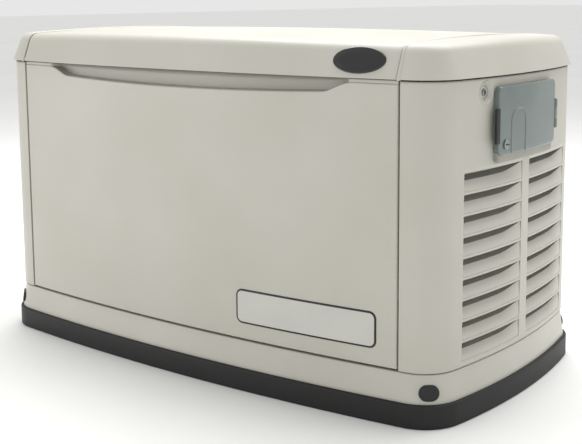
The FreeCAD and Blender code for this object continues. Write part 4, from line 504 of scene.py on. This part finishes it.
def make_pad():
    """A slab: a rolled rim carried round the plan, its two faces drawn in to a line along the middle."""
    under = 0.4
    rim = 60.0
    spine_reach, spine_share = 450.0, 0.9
    profile = ([(-rim, under), (9.8, under)] + quarter(10.4, 2.4, 2.0, -80, 0, 4)
               + quarter(9.4, 42.0, 3.0, 0, 90, 6) + [(-14, PAD_TOP), (-rim, PAD_TOP)])
    points, normals = path = full_path()
    edge = points - rim * normals
    spine_x = np.clip(edge[:, 0], -spine_reach, spine_reach) * spine_share
    spine = np.stack([spine_x, np.full(len(edge), SIDE_SHIFT)], 1)
    steps = np.linspace(0, 1, 5)[None, :, None]
    xy = edge[:, None, :] * (1 - steps) + spine[:, None, :] * steps
    faces = []
    for level in (under, PAD_TOP):
        grid = np.concatenate([xy, np.full((*xy.shape[:2], 1), level)], 2)
        faces.append(sheet(grid, close_rows=True, away_from=(0, 0, PAD_TOP / 2)))
    slab = join(swept(path, profile, close_profile=False), *faces)
    piece("pad_slab", slab, MATERIALS["pad_composite"], "enclosure", ["mounting_pad"])


def make_skirt():
    """The base's sheet: one flared profile with its top turned in carried round the plan, and a floor."""
    outer = [(4.2, 55.0), (1.9, 70.0), (-0.3, 86.0), (-1.7, 95.5)]
    inner = [(-16.0, 98.6), (-16.0, 96.6), (-5.0, 96.4), (-3.7, 94.0), (-2.2, 84.0), (0.0, 70.0), (2.3, 55.0)]
    profile = ([(3.6, 45.2), (5.6, 45.2)] + quarter(4.3, 47.0, 1.4, -60, 0, 4) + outer
               + quarter(-4.0, 96.0, 2.4, 0, 90, 5) + inner)
    floor = block(-520, 520, -235, 290, 45.4, 48.0)
    piece("base_skirt", join(swept(full_path(), profile), floor), BEIGE, "enclosure", ["base_pan"])


SCOOP_LOW = 595.5           # lowest point of the finger recess's edge
SCOOP_HALF = 345.0          # half length of the shallow middle run
SCOOP_SAG = 7.5             # rise of the edge over that run
SCOOP_CLIMB = 58.0          # length of the climb at each end
SCOOP_RISE = 18.0           # height of the climb
SCOOP_DRIFT = 0.04          # slope that carries on into the climb
SCOOP_DEPTH = 22.0
SCOOP_END = 403.0
SCOOP_FADE = 18.0           # length over which the recess's depth runs out


def scoop_edge(x):
    """Height of the finger recess's edge: a shallow parabola, then a smooth climb to the ends."""
    reach = np.abs(x)
    trough = SCOOP_LOW + SCOOP_SAG * (reach / SCOOP_HALF) ** 2
    climb = np.clip((reach - SCOOP_HALF) / SCOOP_CLIMB, 0, 1)
    climb = climb * climb * (3 - 2 * climb)
    drift = (reach - SCOOP_HALF) * SCOOP_DRIFT * (1 - climb)
    return np.where(reach <= SCOOP_HALF, trough, SCOOP_LOW + SCOOP_SAG + drift + SCOOP_RISE * climb)


def make_door():
    """The door's skin: rolled edges, a bowed face and the finger recess turned in along its top.

    Each column of the grid has one x; its rows carry a height and a drop behind the front wall.
    """
    roll = np.radians(np.linspace(90, 0, 5))
    edge = 3.0
    columns = 260
    left = np.stack([-DOOR_HALF + edge - edge * np.sin(roll), edge - edge * np.cos(roll)], 1)
    middle = np.linspace(-DOOR_HALF + 2 * edge, DOOR_HALF - 2 * edge, columns)
    x = np.concatenate([[-DOOR_HALF], left[:, 0], middle, -left[::-1, 0], [DOOR_HALF]])
    side_drop = np.concatenate([[FLANGE], left[:, 1], np.zeros(columns), left[::-1, 1], [FLANGE]])
    top = scoop_edge(x)
    depth = SCOOP_DEPTH * np.clip((SCOOP_END - np.abs(x)) / SCOOP_FADE, 0.06, 1)
    level = np.ones_like(x)
    rows = [(DOOR_LOW * level, FLANGE * level)]
    for a in roll:
        rows.append(((DOOR_LOW + edge - edge * math.sin(a)) * level, (edge - edge * math.cos(a)) * level))
    lip = 3.2
    for t in np.linspace(0.02, 1, 40):
        rows.append((DOOR_LOW + edge + (top - lip - DOOR_LOW - edge) * t, 0 * level))
    for a in np.radians(np.linspace(15, 115, 6)):
        curl = lip * (1 - math.cos(a)) * np.minimum(1, depth / 6)
        rows.append((top - lip + lip * math.sin(a), curl))
    for t in np.linspace(0.3, 1, 4):
        rows.append((top - 1.0 + 2.5 * t, lip + (depth - lip) * t))
    shelf = top + 1.5
    inner_top = PANEL_TOP + 1.6
    for t in (0.12, 0.3, 0.6, 1.0):
        rows.append((shelf + (inner_top - shelf) * t, depth * (1 + 0.04 * t)))
    z = np.stack([row[0] for row in rows], 1)
    drop = np.maximum(np.stack([row[1] for row in rows], 1), side_drop[:, None])
    xx = np.broadcast_to(x[:, None], z.shape)
    grid = np.stack([xx, front_y(xx, -drop), z], -1)
    piece("door_skin", sheet(grid, away_from=CENTRE), BEIGE, "front_door_body", ["front_door"],
          wall=SHEET_WALL)
    border = [(1.2, 0.05), (0.3, 0.35), (0.0, 0.9), (0.4, 1.2), (1.2, 1.35), (6.0, 1.4)]
    place = on_front(301.5, 170.0)
    piece("door_nameplate_film", plate(315, 68, 13.5, border, place), MATERIALS["nameplate_film"],
          "front_door_body", ["door_nameplate"])
    rim = frame_ring((316.6, 69.6, 14.0), (309.0, 62.0, 10.5), 1.88, place)
    piece("door_nameplate_rim", rim, MATERIALS["black_moulding"], "front_door_body")


LOUVRE_TOP = 459.8          # upper edge of the highest row
LOUVRE_PITCH = 39.2
LOUVRE_ROWS = 9
SLOT = 15.0                 # open height over each slat
SLAT = 19.0
COLUMNS = ((-197.8, 2.2), (32.7, 232.7))
HATCH = (-102.8, 119.2, 491.0, 601.0)     # front, rear, low and high edges of the breaker opening
LOCK_Y = -134.8
LOCK_Z = 601.0
LOCK_HOLE = 19.5
LOCK_MARGIN = 22.0          # half width of the finer grid round the lock


def louvre_rows():
    """(lower edge, slat's top, opening's top) of each row."""
    top = LOUVRE_TOP - LOUVRE_PITCH * np.arange(LOUVRE_ROWS)
    return [(t - SLOT - SLAT, t - SLOT, t) for t in top]


def side_skin(hatch):
    """One end panel round its corners: rolled edges, louvre openings, lock hole and breaker hatch."""
    fine = np.linspace(-LOCK_MARGIN, LOCK_MARGIN, 23)
    breaks = np.concatenate([np.ravel(COLUMNS), HATCH[:2], LOCK_Y + fine])
    points, normals = half_path(PANEL_EDGE, side_breaks=breaks, front_steps=6)
    levels = np.concatenate([np.ravel(list(louvre_rows())), HATCH[2:], LOCK_Z + fine])
    z = np.unique(np.concatenate([np.linspace(PANEL_LOW + 3, PANEL_TOP, 50), levels]))
    z = np.concatenate([[PANEL_LOW, PANEL_LOW, PANEL_LOW + 0.9], z])
    low_roll = [12.0, 3.0, 0.9]
    drop = np.concatenate([low_roll, np.zeros(len(z) - len(low_roll))])
    points = np.concatenate([points[:1], points[:1], points, points[-1:], points[-1:]])
    normals = np.concatenate([normals[:1], normals[:1], normals, normals[-1:], normals[-1:]])
    end_roll = 2.4
    shift = np.zeros(len(points))
    shift[:2] = (FLANGE, end_roll)
    shift[-2:] = (end_roll, FLANGE)
    inward = np.maximum(drop[None, :], shift[:, None])
    xy = points[:, None, :] - inward[..., None] * normals[:, None, :]
    grid = np.concatenate([xy, np.broadcast_to(z[None, :, None], (*xy.shape[:2], 1))], 2)
    side_from = 560.0

    def keep(middle):
        y, level = middle[:, 1], middle[:, 2]
        open_ = np.hypot(y - LOCK_Y, level - LOCK_Z) < LOCK_HOLE
        for front, rear in COLUMNS:
            for low, _, top in louvre_rows():
                open_ |= (y > front) & (y < rear) & (level > low) & (level < top)
        if hatch:
            open_ |= (y > HATCH[0]) & (y < HATCH[1]) & (level > HATCH[2]) & (level < HATCH[3])
        return ~(open_ & (middle[:, 0] > side_from))

    return sheet(grid, keep=keep, away_from=CENTRE)


def louvre_slat(front, rear, low, slat_top, top):
    """One pressed slat: it leans inwards as it rises, then turns in and up behind the panel above it.

    Its front end steps in quickly; its rear end climbs to the panel, so that the slot ends in a point.
    """
    point, step_in = 72.0, 6.0
    u = np.linspace(0, 1, 61)
    width = rear - front
    near = np.sin(np.clip(u * width / step_in, 0, 1) * math.pi / 2)
    far = np.sin(np.clip((1 - u) * width / point, 0, 1) * math.pi / 2)
    lean = np.linspace(0, 1, 9)
    depth = np.concatenate([10.0 * lean ** 1.4, [12.0, 20.0, 29.0, 32.0, 32.5]])
    turn_up = np.array([0.01, 0.06, 0.3, 0.8, 1.0])
    high = slat_top + (top - slat_top) * (1 - far)
    rise = np.concatenate([(high - low)[:, None] * lean[None, :] + low,
                           high[:, None] + (top + 2.0 - high)[:, None] * turn_up], 1)
    y = np.broadcast_to((front + u * width)[:, None], rise.shape)
    inward = 0.2 + depth[None, :] * (near * (0.12 + 0.88 * far))[:, None]
    return sheet(np.stack([side_x(y, -inward), y, rise], -1), away_from=(0, 0, 300))


def make_side_panels():
    """Both end panels with their louvres; the left one is the mirror image without the hatch."""
    slats = [louvre_slat(front, rear, *row) for front, rear in COLUMNS for row in louvre_rows()]
    right = join(side_skin(True), *slats)
    left = mirror_x(join(side_skin(False), *slats))
    for name, part, node in (("intake_panel", right, "intake_side_panel"),
                             ("exhaust_panel", left, "exhaust_side_panel")):
        piece(name, part, BEIGE, "enclosure", [node], wall=SHEET_WALL)


# ---------------------------------------------------------------- lid

def crown(x, y):
    """Height of the lid's top: a gentle fall with the square of the distance along and across."""
    return LID_TOP - 0.6 - np.square(x) / CROWN_X - np.square(y) / CROWN_Y


LID_LIP = 1.2               # height of the rolled lower edge
FRONT_EAVE, REAR_EAVE = -240.0, 262.0     # where the crown is measured for the front and rear rounds


def lid_profile(x, y):
    """Offsets and heights from the lid's lower edge up its leaning wall and over its round."""
    lean = math.atan(LID_SLOPE)
    top = crown(x, y)
    centre_z = top - LID_ROUND
    wall_end = centre_z + LID_ROUND * math.sin(lean)
    start = LID_LOW + LID_LIP
    wall_e = LID_OUT - LID_SLOPE * (wall_end - start)
    centre_e = wall_e - LID_ROUND * math.cos(lean)
    e = [np.full_like(top, LID_OUT - inset) for inset in (2.2, 1.0, 0.25, 0.0)]
    z = [np.full_like(top, level) for level in (LID_LOW, LID_LOW, LID_LOW + 0.4, start)]
    for t in (0.3, 0.65):
        e.append(LID_OUT + (wall_e - LID_OUT) * t)
        z.append(start + (wall_end - start) * t)
    for a in np.linspace(lean, math.radians(87), 12):
        e.append(centre_e + LID_ROUND * math.cos(a))
        z.append(centre_z + LID_ROUND * math.sin(a))
    return np.stack(e, 1), np.stack(z, 1)


def lid_section(x):
    """The lid's section at each x: front wall, crowned top and rear wall."""
    e, z = lid_profile(x, np.full_like(x, FRONT_EAVE))
    front = np.stack([np.broadcast_to(x[:, None], e.shape), front_y(x[:, None], e), z], -1)
    back_e, back_z = lid_profile(x, np.full_like(x, REAR_EAVE))
    rear = np.stack([np.broadcast_to(x[:, None], e.shape), REAR_DEPTH + back_e, back_z], -1)[:, ::-1]
    t = np.linspace(0, 1, 42)[1:-1]
    front_end, rear_end = front[:, -1, :, None], rear[:, 0, :, None]
    y = front_end[:, 1] * (1 - t) + rear_end[:, 1] * t
    middle_x = np.broadcast_to(x[:, None], y.shape)
    blend = front_end[:, 2] * (1 - t) + rear_end[:, 2] * t
    flat = crown(x[:, None], front_end[:, 1]) * (1 - t) + crown(x[:, None], rear_end[:, 1]) * t
    middle = np.stack([middle_x, y, crown(middle_x, y) + (blend - flat)], -1)
    return np.concatenate([front, middle, rear], 1)


def make_lid():
    """The pressed top between its two moulded ends, the ribs beside the seams and the oval badge."""
    roll = np.array([0.0, 0.6, 1.6, 3.0])
    roll_drop = np.array([3.0, 0.8, 0.25, 0.0])
    columns, margin, wall = 90, 10.0, 2.0
    edge = SEAM - 1.3
    middle = np.linspace(-edge + margin, edge - margin, columns)
    x = np.concatenate([-edge + roll, middle, (edge - roll)[::-1]])
    drop = np.concatenate([roll_drop, np.zeros(columns), roll_drop[::-1]])
    grid = lid_section(x)
    inward = np.array([0, 0, 600.0]) - grid * [0, 1, 1]
    inward /= np.linalg.norm(inward, axis=2, keepdims=True)
    skin = sheet(grid + inward * drop[:, None, None], away_from=(0, 0, 400))
    piece("lid_skin", skin, BEIGE, "lid", ["lid_panel"], wall=wall)
    cap, rib = end_cap(), seam_bead()
    for label, turn in (("right", lambda part: part), ("left", mirror_x)):
        piece("lid_cap_" + label, turn(cap), BEIGE, "lid", ["lid_end_cap_" + label],
              wall=wall)
        piece("lid_bead_" + label, turn(rib), BEIGE, "lid")
    dome = [(0.0, -1.5), (0.0, 1.6), (0.5, 2.6), (1.6, 3.2), (2.6, 3.0), (3.4, 3.0), (7.0, 4.1), (12.0, 5.0)]
    badge = plate(107, 50.5, 25, dome, on_fascia(420.0, 661.2), ellipse_outline)
    piece("lid_badge_dome", badge, MATERIALS["badge_plastic"], "lid", ["lid_badge"])


def end_cap():
    """The lid's end: the same section carried round the corners, then fanned to the seam's middle."""
    proud = 0.8
    points, normals = half_path(SEAM, front_steps=5)
    e, z = lid_profile(points[:, 0], points[:, 1] * 0.8)
    e, z = e + 1.0, z + np.linspace(0, proud, e.shape[1])[None, :]
    xy = points[:, None, :] + e[..., None] * normals[:, None, :]
    xy[0, :, 0], xy[-1, :, 0] = SEAM, SEAM
    xy[..., 0] = np.maximum(xy[..., 0], SEAM)
    walls = np.concatenate([xy, z[..., None]], 2)
    ring = walls[:, -1]
    pole = np.array([SEAM, SIDE_SHIFT])
    t = np.linspace(0, 1, 14)[:, None]
    fan_xy = ring[:, None, :2] * (1 - t) + pole * t
    lift = (ring[:, 2] - crown(ring[:, 0], ring[:, 1]))[:, None] * (1 - t[:, 0]) + proud * t[:, 0]
    fan = np.concatenate([fan_xy, (crown(fan_xy[..., 0], fan_xy[..., 1]) + lift)[..., None]], 2)
    return sheet(np.concatenate([walls, fan[:, 1:]], 1), away_from=(400, 0, 400))


def seam_bead():
    """A half-round rib that follows the lid's section beside the seam."""
    half, rise, sunk = 3.4, 2.0, 1.5
    a = np.linspace(0, math.pi, 9)
    x = SEAM + half - half * np.cos(a)
    grid = lid_section(x)
    outward = grid[4] - np.roll(grid[4], 1, 0)
    outward = np.stack([np.zeros(len(outward)), outward[:, 2], -outward[:, 1]], 1) * [1, -1, -1]
    outward[0] = outward[1]
    outward /= np.maximum(np.linalg.norm(outward, axis=1, keepdims=True), 1e-6)
    out_sign = np.where((outward * (grid[4] - [0, 0, 500])).sum(1) < 0, -1.0, 1.0)
    outward *= out_sign[:, None]
    grid = grid + (rise * np.sin(a))[:, None, None] * outward[None] + 0.3 * outward[None]
    under = grid[[0, -1]] - sunk * outward[None]
    loop = np.concatenate([under[:1], grid, under[1:]], 0)
    return sheet(loop, close_rows=True, away_from=(SEAM + half, 0, 500))


# ---------------------------------------------------------------- locks, plugs and breaker cover

def wall_frame(y, stand=0.0):
    """Point and outward direction of the right-hand wall at y."""
    x = float(side_x(y, stand))
    out = np.array([x - SIDE_C, y - SIDE_SHIFT, 0.0])
    return np.array([x, y, 0.0]), out / np.linalg.norm(out)


def make_locks():
    """Each lock: a dished collar in the panel, a turning cylinder with its key slot and a cam behind."""
    point, out = wall_frame(LOCK_Y)
    dish = [(20.6, -1.6), (21.6, 0.4), (20.8, 1.4), (19.4, 1.5), (18.4, 0.6), (16.5, -3.4), (13.0, -5.6),
            (12.6, -5.2), (12.4, -4.2), (11.4, -4.0), (11.2, -6.0), (11.2, -24.0), (13.2, -24.0),
            (13.2, -7.5), (17.5, -4.6), (20.0, -1.8)]
    collar = [(6.6, -6.6), (7.4, -6.0), (10.2, -5.7), (10.9, -6.3), (10.9, -26.0), (0.0, -26.0), (0.0, -9.0),
              (6.6, -9.0)]
    core = [(0.0, -4.2), (5.4, -4.2), (6.3, -4.9), (6.4, -8.9), (0.0, -8.9)]
    face_back, cam_back, cam_low = 4.2, 27.0, 8.0
    upright = (0, 0, 1)
    for side, label in ((1, "right"), (-1, "left")):
        origin = point * [side, 1, 1] + [0, 0, LOCK_Z]
        axis = out * [side, 1, 1]
        body = label + "_lock"
        piece("lock_dish_" + label, turned(dish + dish[:1], origin, axis), BEIGE, "enclosure",
              ["lock_housings"] if side > 0 else ())
        across = np.array([-axis[1], axis[0], 0.0])
        # the keyway is a flat dark plate on the core's face: painted shade in place of the slot's depth
        key = plate(2.2, 7.6, 1.0, [(0.0, -0.6), (0.0, 0.15)],
                    on_plane(origin - face_back * axis, across, upright, axis))
        cam = plate(10.0, 24.0, 4.0, [(0.6, -1.3), (0.0, -0.9), (0.0, 0.9), (0.6, 1.3)],
                    on_plane(origin - cam_back * axis - [0, 0, cam_low], across, upright, axis))
        rotor = join(turned(collar, origin, axis), cam)
        piece("lock_collar_" + label, rotor, BEIGE, body, ["lock_rotor_" + label])
        piece("lock_core_" + label, turned(core, origin, axis), MATERIALS["lock_zinc"], body)
        piece("lock_keyway_" + label, key, MATERIALS["slot_shadow"], body)


def make_plugs():
    """Oval caps in the skirt's lifting holes."""
    rings = [(1.5, -5.0), (0.0, -4.0), (0.0, 1.4), (0.5, 2.7), (1.6, 3.6), (3.2, 4.0), (4.4, 3.7), (5.4, 3.5)]
    turn = math.radians(50)
    slope = math.atan(7.8 / 54)     # the skirt's lean over its height
    level_z, stand = 66.0, 2.2
    parts = []
    for side in (1, -1):
        for end, centre in ((-1, CORNER_FRONT), (1, CORNER_REAR)):
            level = np.array([side * math.cos(turn), end * math.sin(turn), 0.0])
            across = np.array([-level[1], level[0], 0.0])
            origin = np.array([side * centre[0], centre[1], level_z]) + (CORNER + stand) * level
            out = level * math.cos(slope) + [0, 0, math.sin(slope)]
            up = np.array([0, 0, math.cos(slope)]) - level * math.sin(slope)
            parts.append(plate(38, 30, 15, rings, on_plane(origin, across, up, out)))
    piece("lifting_plugs", join(*parts), MATERIALS["black_moulding"], "enclosure", ["lifting_hole_plugs"])


COVER = (-111.8, 128.2, 482.0, 610.0)     # front, rear, low and high edges
COVER_STAND = 10.4          # its underside off the panel
COVER_WALL = 2.2
COVER_TOP = COVER_STAND + COVER_WALL
HINGE_Y = 134.5


def frame_ring(outer, inner, rise, place, shift=(0.0, 0.0)):
    """A flat frame between two rounded rectangles (width, height, corner), rolled at its outer edge.

    'shift' moves the inner rectangle off the outer one's middle.
    """
    ow, oh, oc = outer
    iw, ih, ic = inner
    rows = []
    for inset, level in ((0.0, 0.0), (0.0, rise - 1.6), (0.5, rise - 0.5), (1.6, rise)):
        rows.append((rounded_outline(ow - 2 * inset, oh - 2 * inset, oc), level))
    rows.append((rounded_outline(iw + 1.0, ih + 1.0, ic + 0.5) + shift, rise))
    rows.append((rounded_outline(iw, ih, ic) + shift, rise - 0.6))
    rows.append((rounded_outline(iw, ih, ic) + shift, 0.0))
    across_up = np.stack([shape for shape, _ in rows], 1)
    level = np.broadcast_to(np.array([level for _, level in rows]), across_up.shape[:2])
    return sheet(place(across_up[..., 0], across_up[..., 1], level), close_rows=True, close_columns=True)


def knuckle(x, y, low, high, radius=4.0):
    """An upright pin or hinge barrel with softened ends."""
    lip = 0.5
    profile = [(0, low), (radius - lip, low), (radius, low + lip), (radius, high - lip), (radius - lip, high),
               (0, high)]
    return turned(profile, (x, y, 0), (0, 0, 1), 24)


def make_breaker_cover():
    """The clear cover over the breaker: shell, hinge, pull tab, frame round the opening and latch."""
    front, rear, low, high = COVER
    width, height = rear - front, high - low
    middle_z = 538.0
    hinge_x = float(side_x(HINGE_Y, 11.5))
    hinge_low, hinge_high = 510.5, 570.5
    barrel, lug_low, lug_high = 18.0, 531.0, 550.0
    place = on_side((front + rear) / 2, (low + high) / 2)
    skirt_drop, skirt_run, skirt_from = 7.8, 6.0, 12.0

    def skirted(across, up, rise):
        """The cover's underside edge drops to the panel along its front and its top."""
        share_across = np.clip((across - width / 2 + skirt_from) / skirt_run, 0, 1)
        share_up = np.clip((up - height / 2 + skirt_from) / skirt_run, 0, 1)
        dropped = rise - np.maximum(share_across, share_up) * skirt_drop
        return place(across, up, np.where(rise < COVER_STAND, dropped, rise))

    under = [(6.0, 0.0), (2.6, 0.0), (2.1, -0.9), (1.0, -1.1), (0.2, -0.6), (0.0, 0.1)]
    over = [(0.0, -1.9), (0.35, -0.8), (1.2, -0.15), (2.6, 0.0), (9.0, 0.0), (11.0, 0.0)]
    rings = ([(inset, COVER_STAND + rise) for inset, rise in under]
             + [(inset, COVER_TOP + rise) for inset, rise in over])
    parts = [plate(width, height, 13, rings, skirted)]
    for start in (512.0, 551.0):
        parts.append(knuckle(hinge_x, HINGE_Y, start, start + barrel))
        parts.append(block(hinge_x - 1.1, hinge_x + 1.1, 123.8, HINGE_Y, start, start + barrel))
    smoked = MATERIALS["smoked_cover"]
    piece("cover_shell", join(*parts), smoked, "breaker_cover_body", ["breaker_cover"])
    piece("cover_arch", arch_rib(COVER_TOP), smoked, "breaker_cover_body")

    tab_rings = [(inset, COVER_STAND + rise)
                 for inset, rise in ((1.0, -0.2), (0.0, 0.6), (0.0, 3.4), (0.8, 4.6), (2.4, 5.0))]
    tab = plate(13.0, 66.0, 3.0, tab_rings, on_side(-116.2, middle_z))
    piece("cover_tab", tab, MATERIALS["black_moulding"], "breaker_cover_body", ["cover_pull_tab"])

    bezel = frame_ring((229.0, 138.0, 6.0), (222.0, 110.0, 5.0), 9.8, on_side(5.7, middle_z), (-2.5, 8.0))
    lug = knuckle(hinge_x, HINGE_Y, lug_low, lug_high)
    arm = block(hinge_x - 9.0, hinge_x - 2.2, 120.0, HINGE_Y - 1.0, lug_low, lug_high)
    pin = knuckle(hinge_x, HINGE_Y, hinge_low, hinge_high, 1.6)
    piece("bezel_frame", join(bezel, lug, arm, pin), MATERIALS["bezel_plastic"], "enclosure",
          ["breaker_bezel"])

    point, out = wall_frame(-86.8, COVER_TOP)
    origin = point + [0, 0, 502.0]
    head = turned([(0, 0.3), (8.9, 0.3), (9.5, 1.0), (9.5, 2.4), (8.8, 3.2), (0, 3.4)], origin, out)
    shank = turned([(0, -6.0), (2.9, -6.0), (2.9, 0.4), (0, 0.4)], origin, out, 20)
    on_latch = on_plane(origin, np.array([-out[1], out[0], 0.0]), (0, 0, 1), out)
    wing = plate(14.0, 5.6, 1.5, [(0.3, -5.2), (0.0, -4.9), (0.0, -3.0), (0.3, -2.7)], on_latch)
    # the screw's slot is a flat dark strip on its head: painted shade in place of the slot's depth
    slot = plate(13.0, 2.4, 1.0, [(0.0, 2.4), (0.0, 3.5)], on_latch)
    piece("latch_screw", join(head, shank, wing), MATERIALS["lock_zinc"], "cover_latch_body",
          ["cover_latch"])
    piece("latch_slot", slot, MATERIALS["slot_shadow"], "cover_latch_body")


def arch_rib(base):
    """A half-round rib along an arch: up one leg, over a half circle and down the other."""
    front, rear, high, low = -68.8, -8.8, 571.0, 483.5
    half, rise_most = 3.0, 1.9
    radius = (rear - front) / 2 - half
    middle, spring = (front + rear) / 2, high - (rear - front) / 2
    legs = np.linspace(low, spring, 8)[:-1]
    leg = np.ones(len(legs))
    a = np.linspace(0, math.pi, 28)
    y = np.concatenate([leg * (middle - radius), middle - radius * np.cos(a), leg * (middle + radius)])
    z = np.concatenate([legs, spring + radius * np.sin(a), legs[::-1]])
    run = np.stack([np.gradient(y), np.gradient(z)], 1)
    run /= np.linalg.norm(run, axis=1, keepdims=True)
    across = np.stack([-run[:, 1], run[:, 0]], 1)
    b = np.linspace(0, math.pi, 9)
    offset, rise = half * np.cos(b), base - 0.5 + rise_most * np.sin(b)
    yy = y[:, None] + across[:, :1] * offset[None, :]
    zz = z[:, None] + across[:, 1:] * offset[None, :]
    x = side_x(yy)
    out_x, out_y = (x - SIDE_C) / SIDE_R, (yy - SIDE_SHIFT) / SIDE_R
    grid = np.stack([x + rise * out_x, yy + rise * out_y, zz], -1)
    return sheet(grid, close_columns=True, away_from=(600, middle, 520))


make_pad()
make_skirt()
make_door()
make_side_panels()
make_lid()
make_locks()
make_plugs()
make_breaker_cover()


# ---------------------------------------------------------------- studio

def make_studio():
    """A white floor and an even white surround."""
    bpy.context.scene.view_settings.view_transform = "Standard"
    reach = 30000
    floor = block(-reach, reach, -reach, 2 * reach, -30, -0.2)
    mesh = bpy.data.meshes.new("floor")
    mesh.from_pydata((floor[0] * MM).tolist(), [], floor[1].tolist())
    obj = bpy.data.objects.new("floor", mesh)
    bpy.context.collection.objects.link(obj)
    mesh.materials.append(MATERIALS["studio_floor"])
    world = bpy.data.worlds.new("studio")
    bpy.context.scene.world = world
    world.use_nodes = True
    back = world.node_tree.nodes["Background"]
    back.inputs["Color"].default_value = linear("#ffffff")
    back.inputs["Strength"].default_value = 0.80


def softbox(name, place, aim, width, height, power):
    """A rectangular light at a place, facing a point; metres and watts."""
    light = bpy.data.lights.new(name, "AREA")
    light.shape = "RECTANGLE"
    light.size, light.size_y = width, height
    light.energy = power
    obj = bpy.data.objects.new(name, light)
    bpy.context.collection.objects.link(obj)
    obj.location = place
    obj.rotation_euler = (Vector(aim) - Vector(place)).to_track_quat("-Z", "Y").to_euler()


def make_camera():
    """Two-point-like view from the front right, a little above the lid."""
    data = bpy.data.cameras.new("camera")
    data.sensor_width = 36.0
    data.lens = CAMERA["focal"] * data.sensor_width
    data.shift_x = CAMERA["shift_x"]
    data.shift_y = CAMERA["shift_y"]
    data.clip_end = 100.0
    obj = bpy.data.objects.new("camera", data)
    bpy.context.collection.objects.link(obj)
    yaw, pitch, roll = CAMERA["yaw"], CAMERA["pitch"], CAMERA["roll"]
    forward = Vector((math.sin(yaw) * math.cos(pitch), math.cos(yaw) * math.cos(pitch), math.sin(pitch)))
    right = Vector((math.cos(yaw), -math.sin(yaw), 0.0))
    up = right.cross(forward)
    across = math.cos(roll) * right + math.sin(roll) * up
    above = -math.sin(roll) * right + math.cos(roll) * up
    turn = Matrix((across, above, -forward)).transposed()
    obj.matrix_world = Matrix.Translation(Vector(CAMERA["place"])) @ turn.to_4x4()
    bpy.context.scene.camera = obj


# place in metres; yaw, pitch and roll in radians; focal length and shifts as shares of the width
CAMERA = {"place": (1.51633, -1.90357, 0.78083), "yaw": -0.63376, "pitch": -0.13963, "roll": -0.00394,
          "focal": 1.87847, "shift_x": -0.0457, "shift_y": -0.13}

make_studio()
make_camera()
softbox("overhead", (-0.2, 1.0, 3.0), (0, 0.1, 0.5), 3.6, 2.4, 125)
softbox("front_left", (-2.6, -2.6, 0.7), (0, 0, 0.3), 2.0, 1.2, 16)
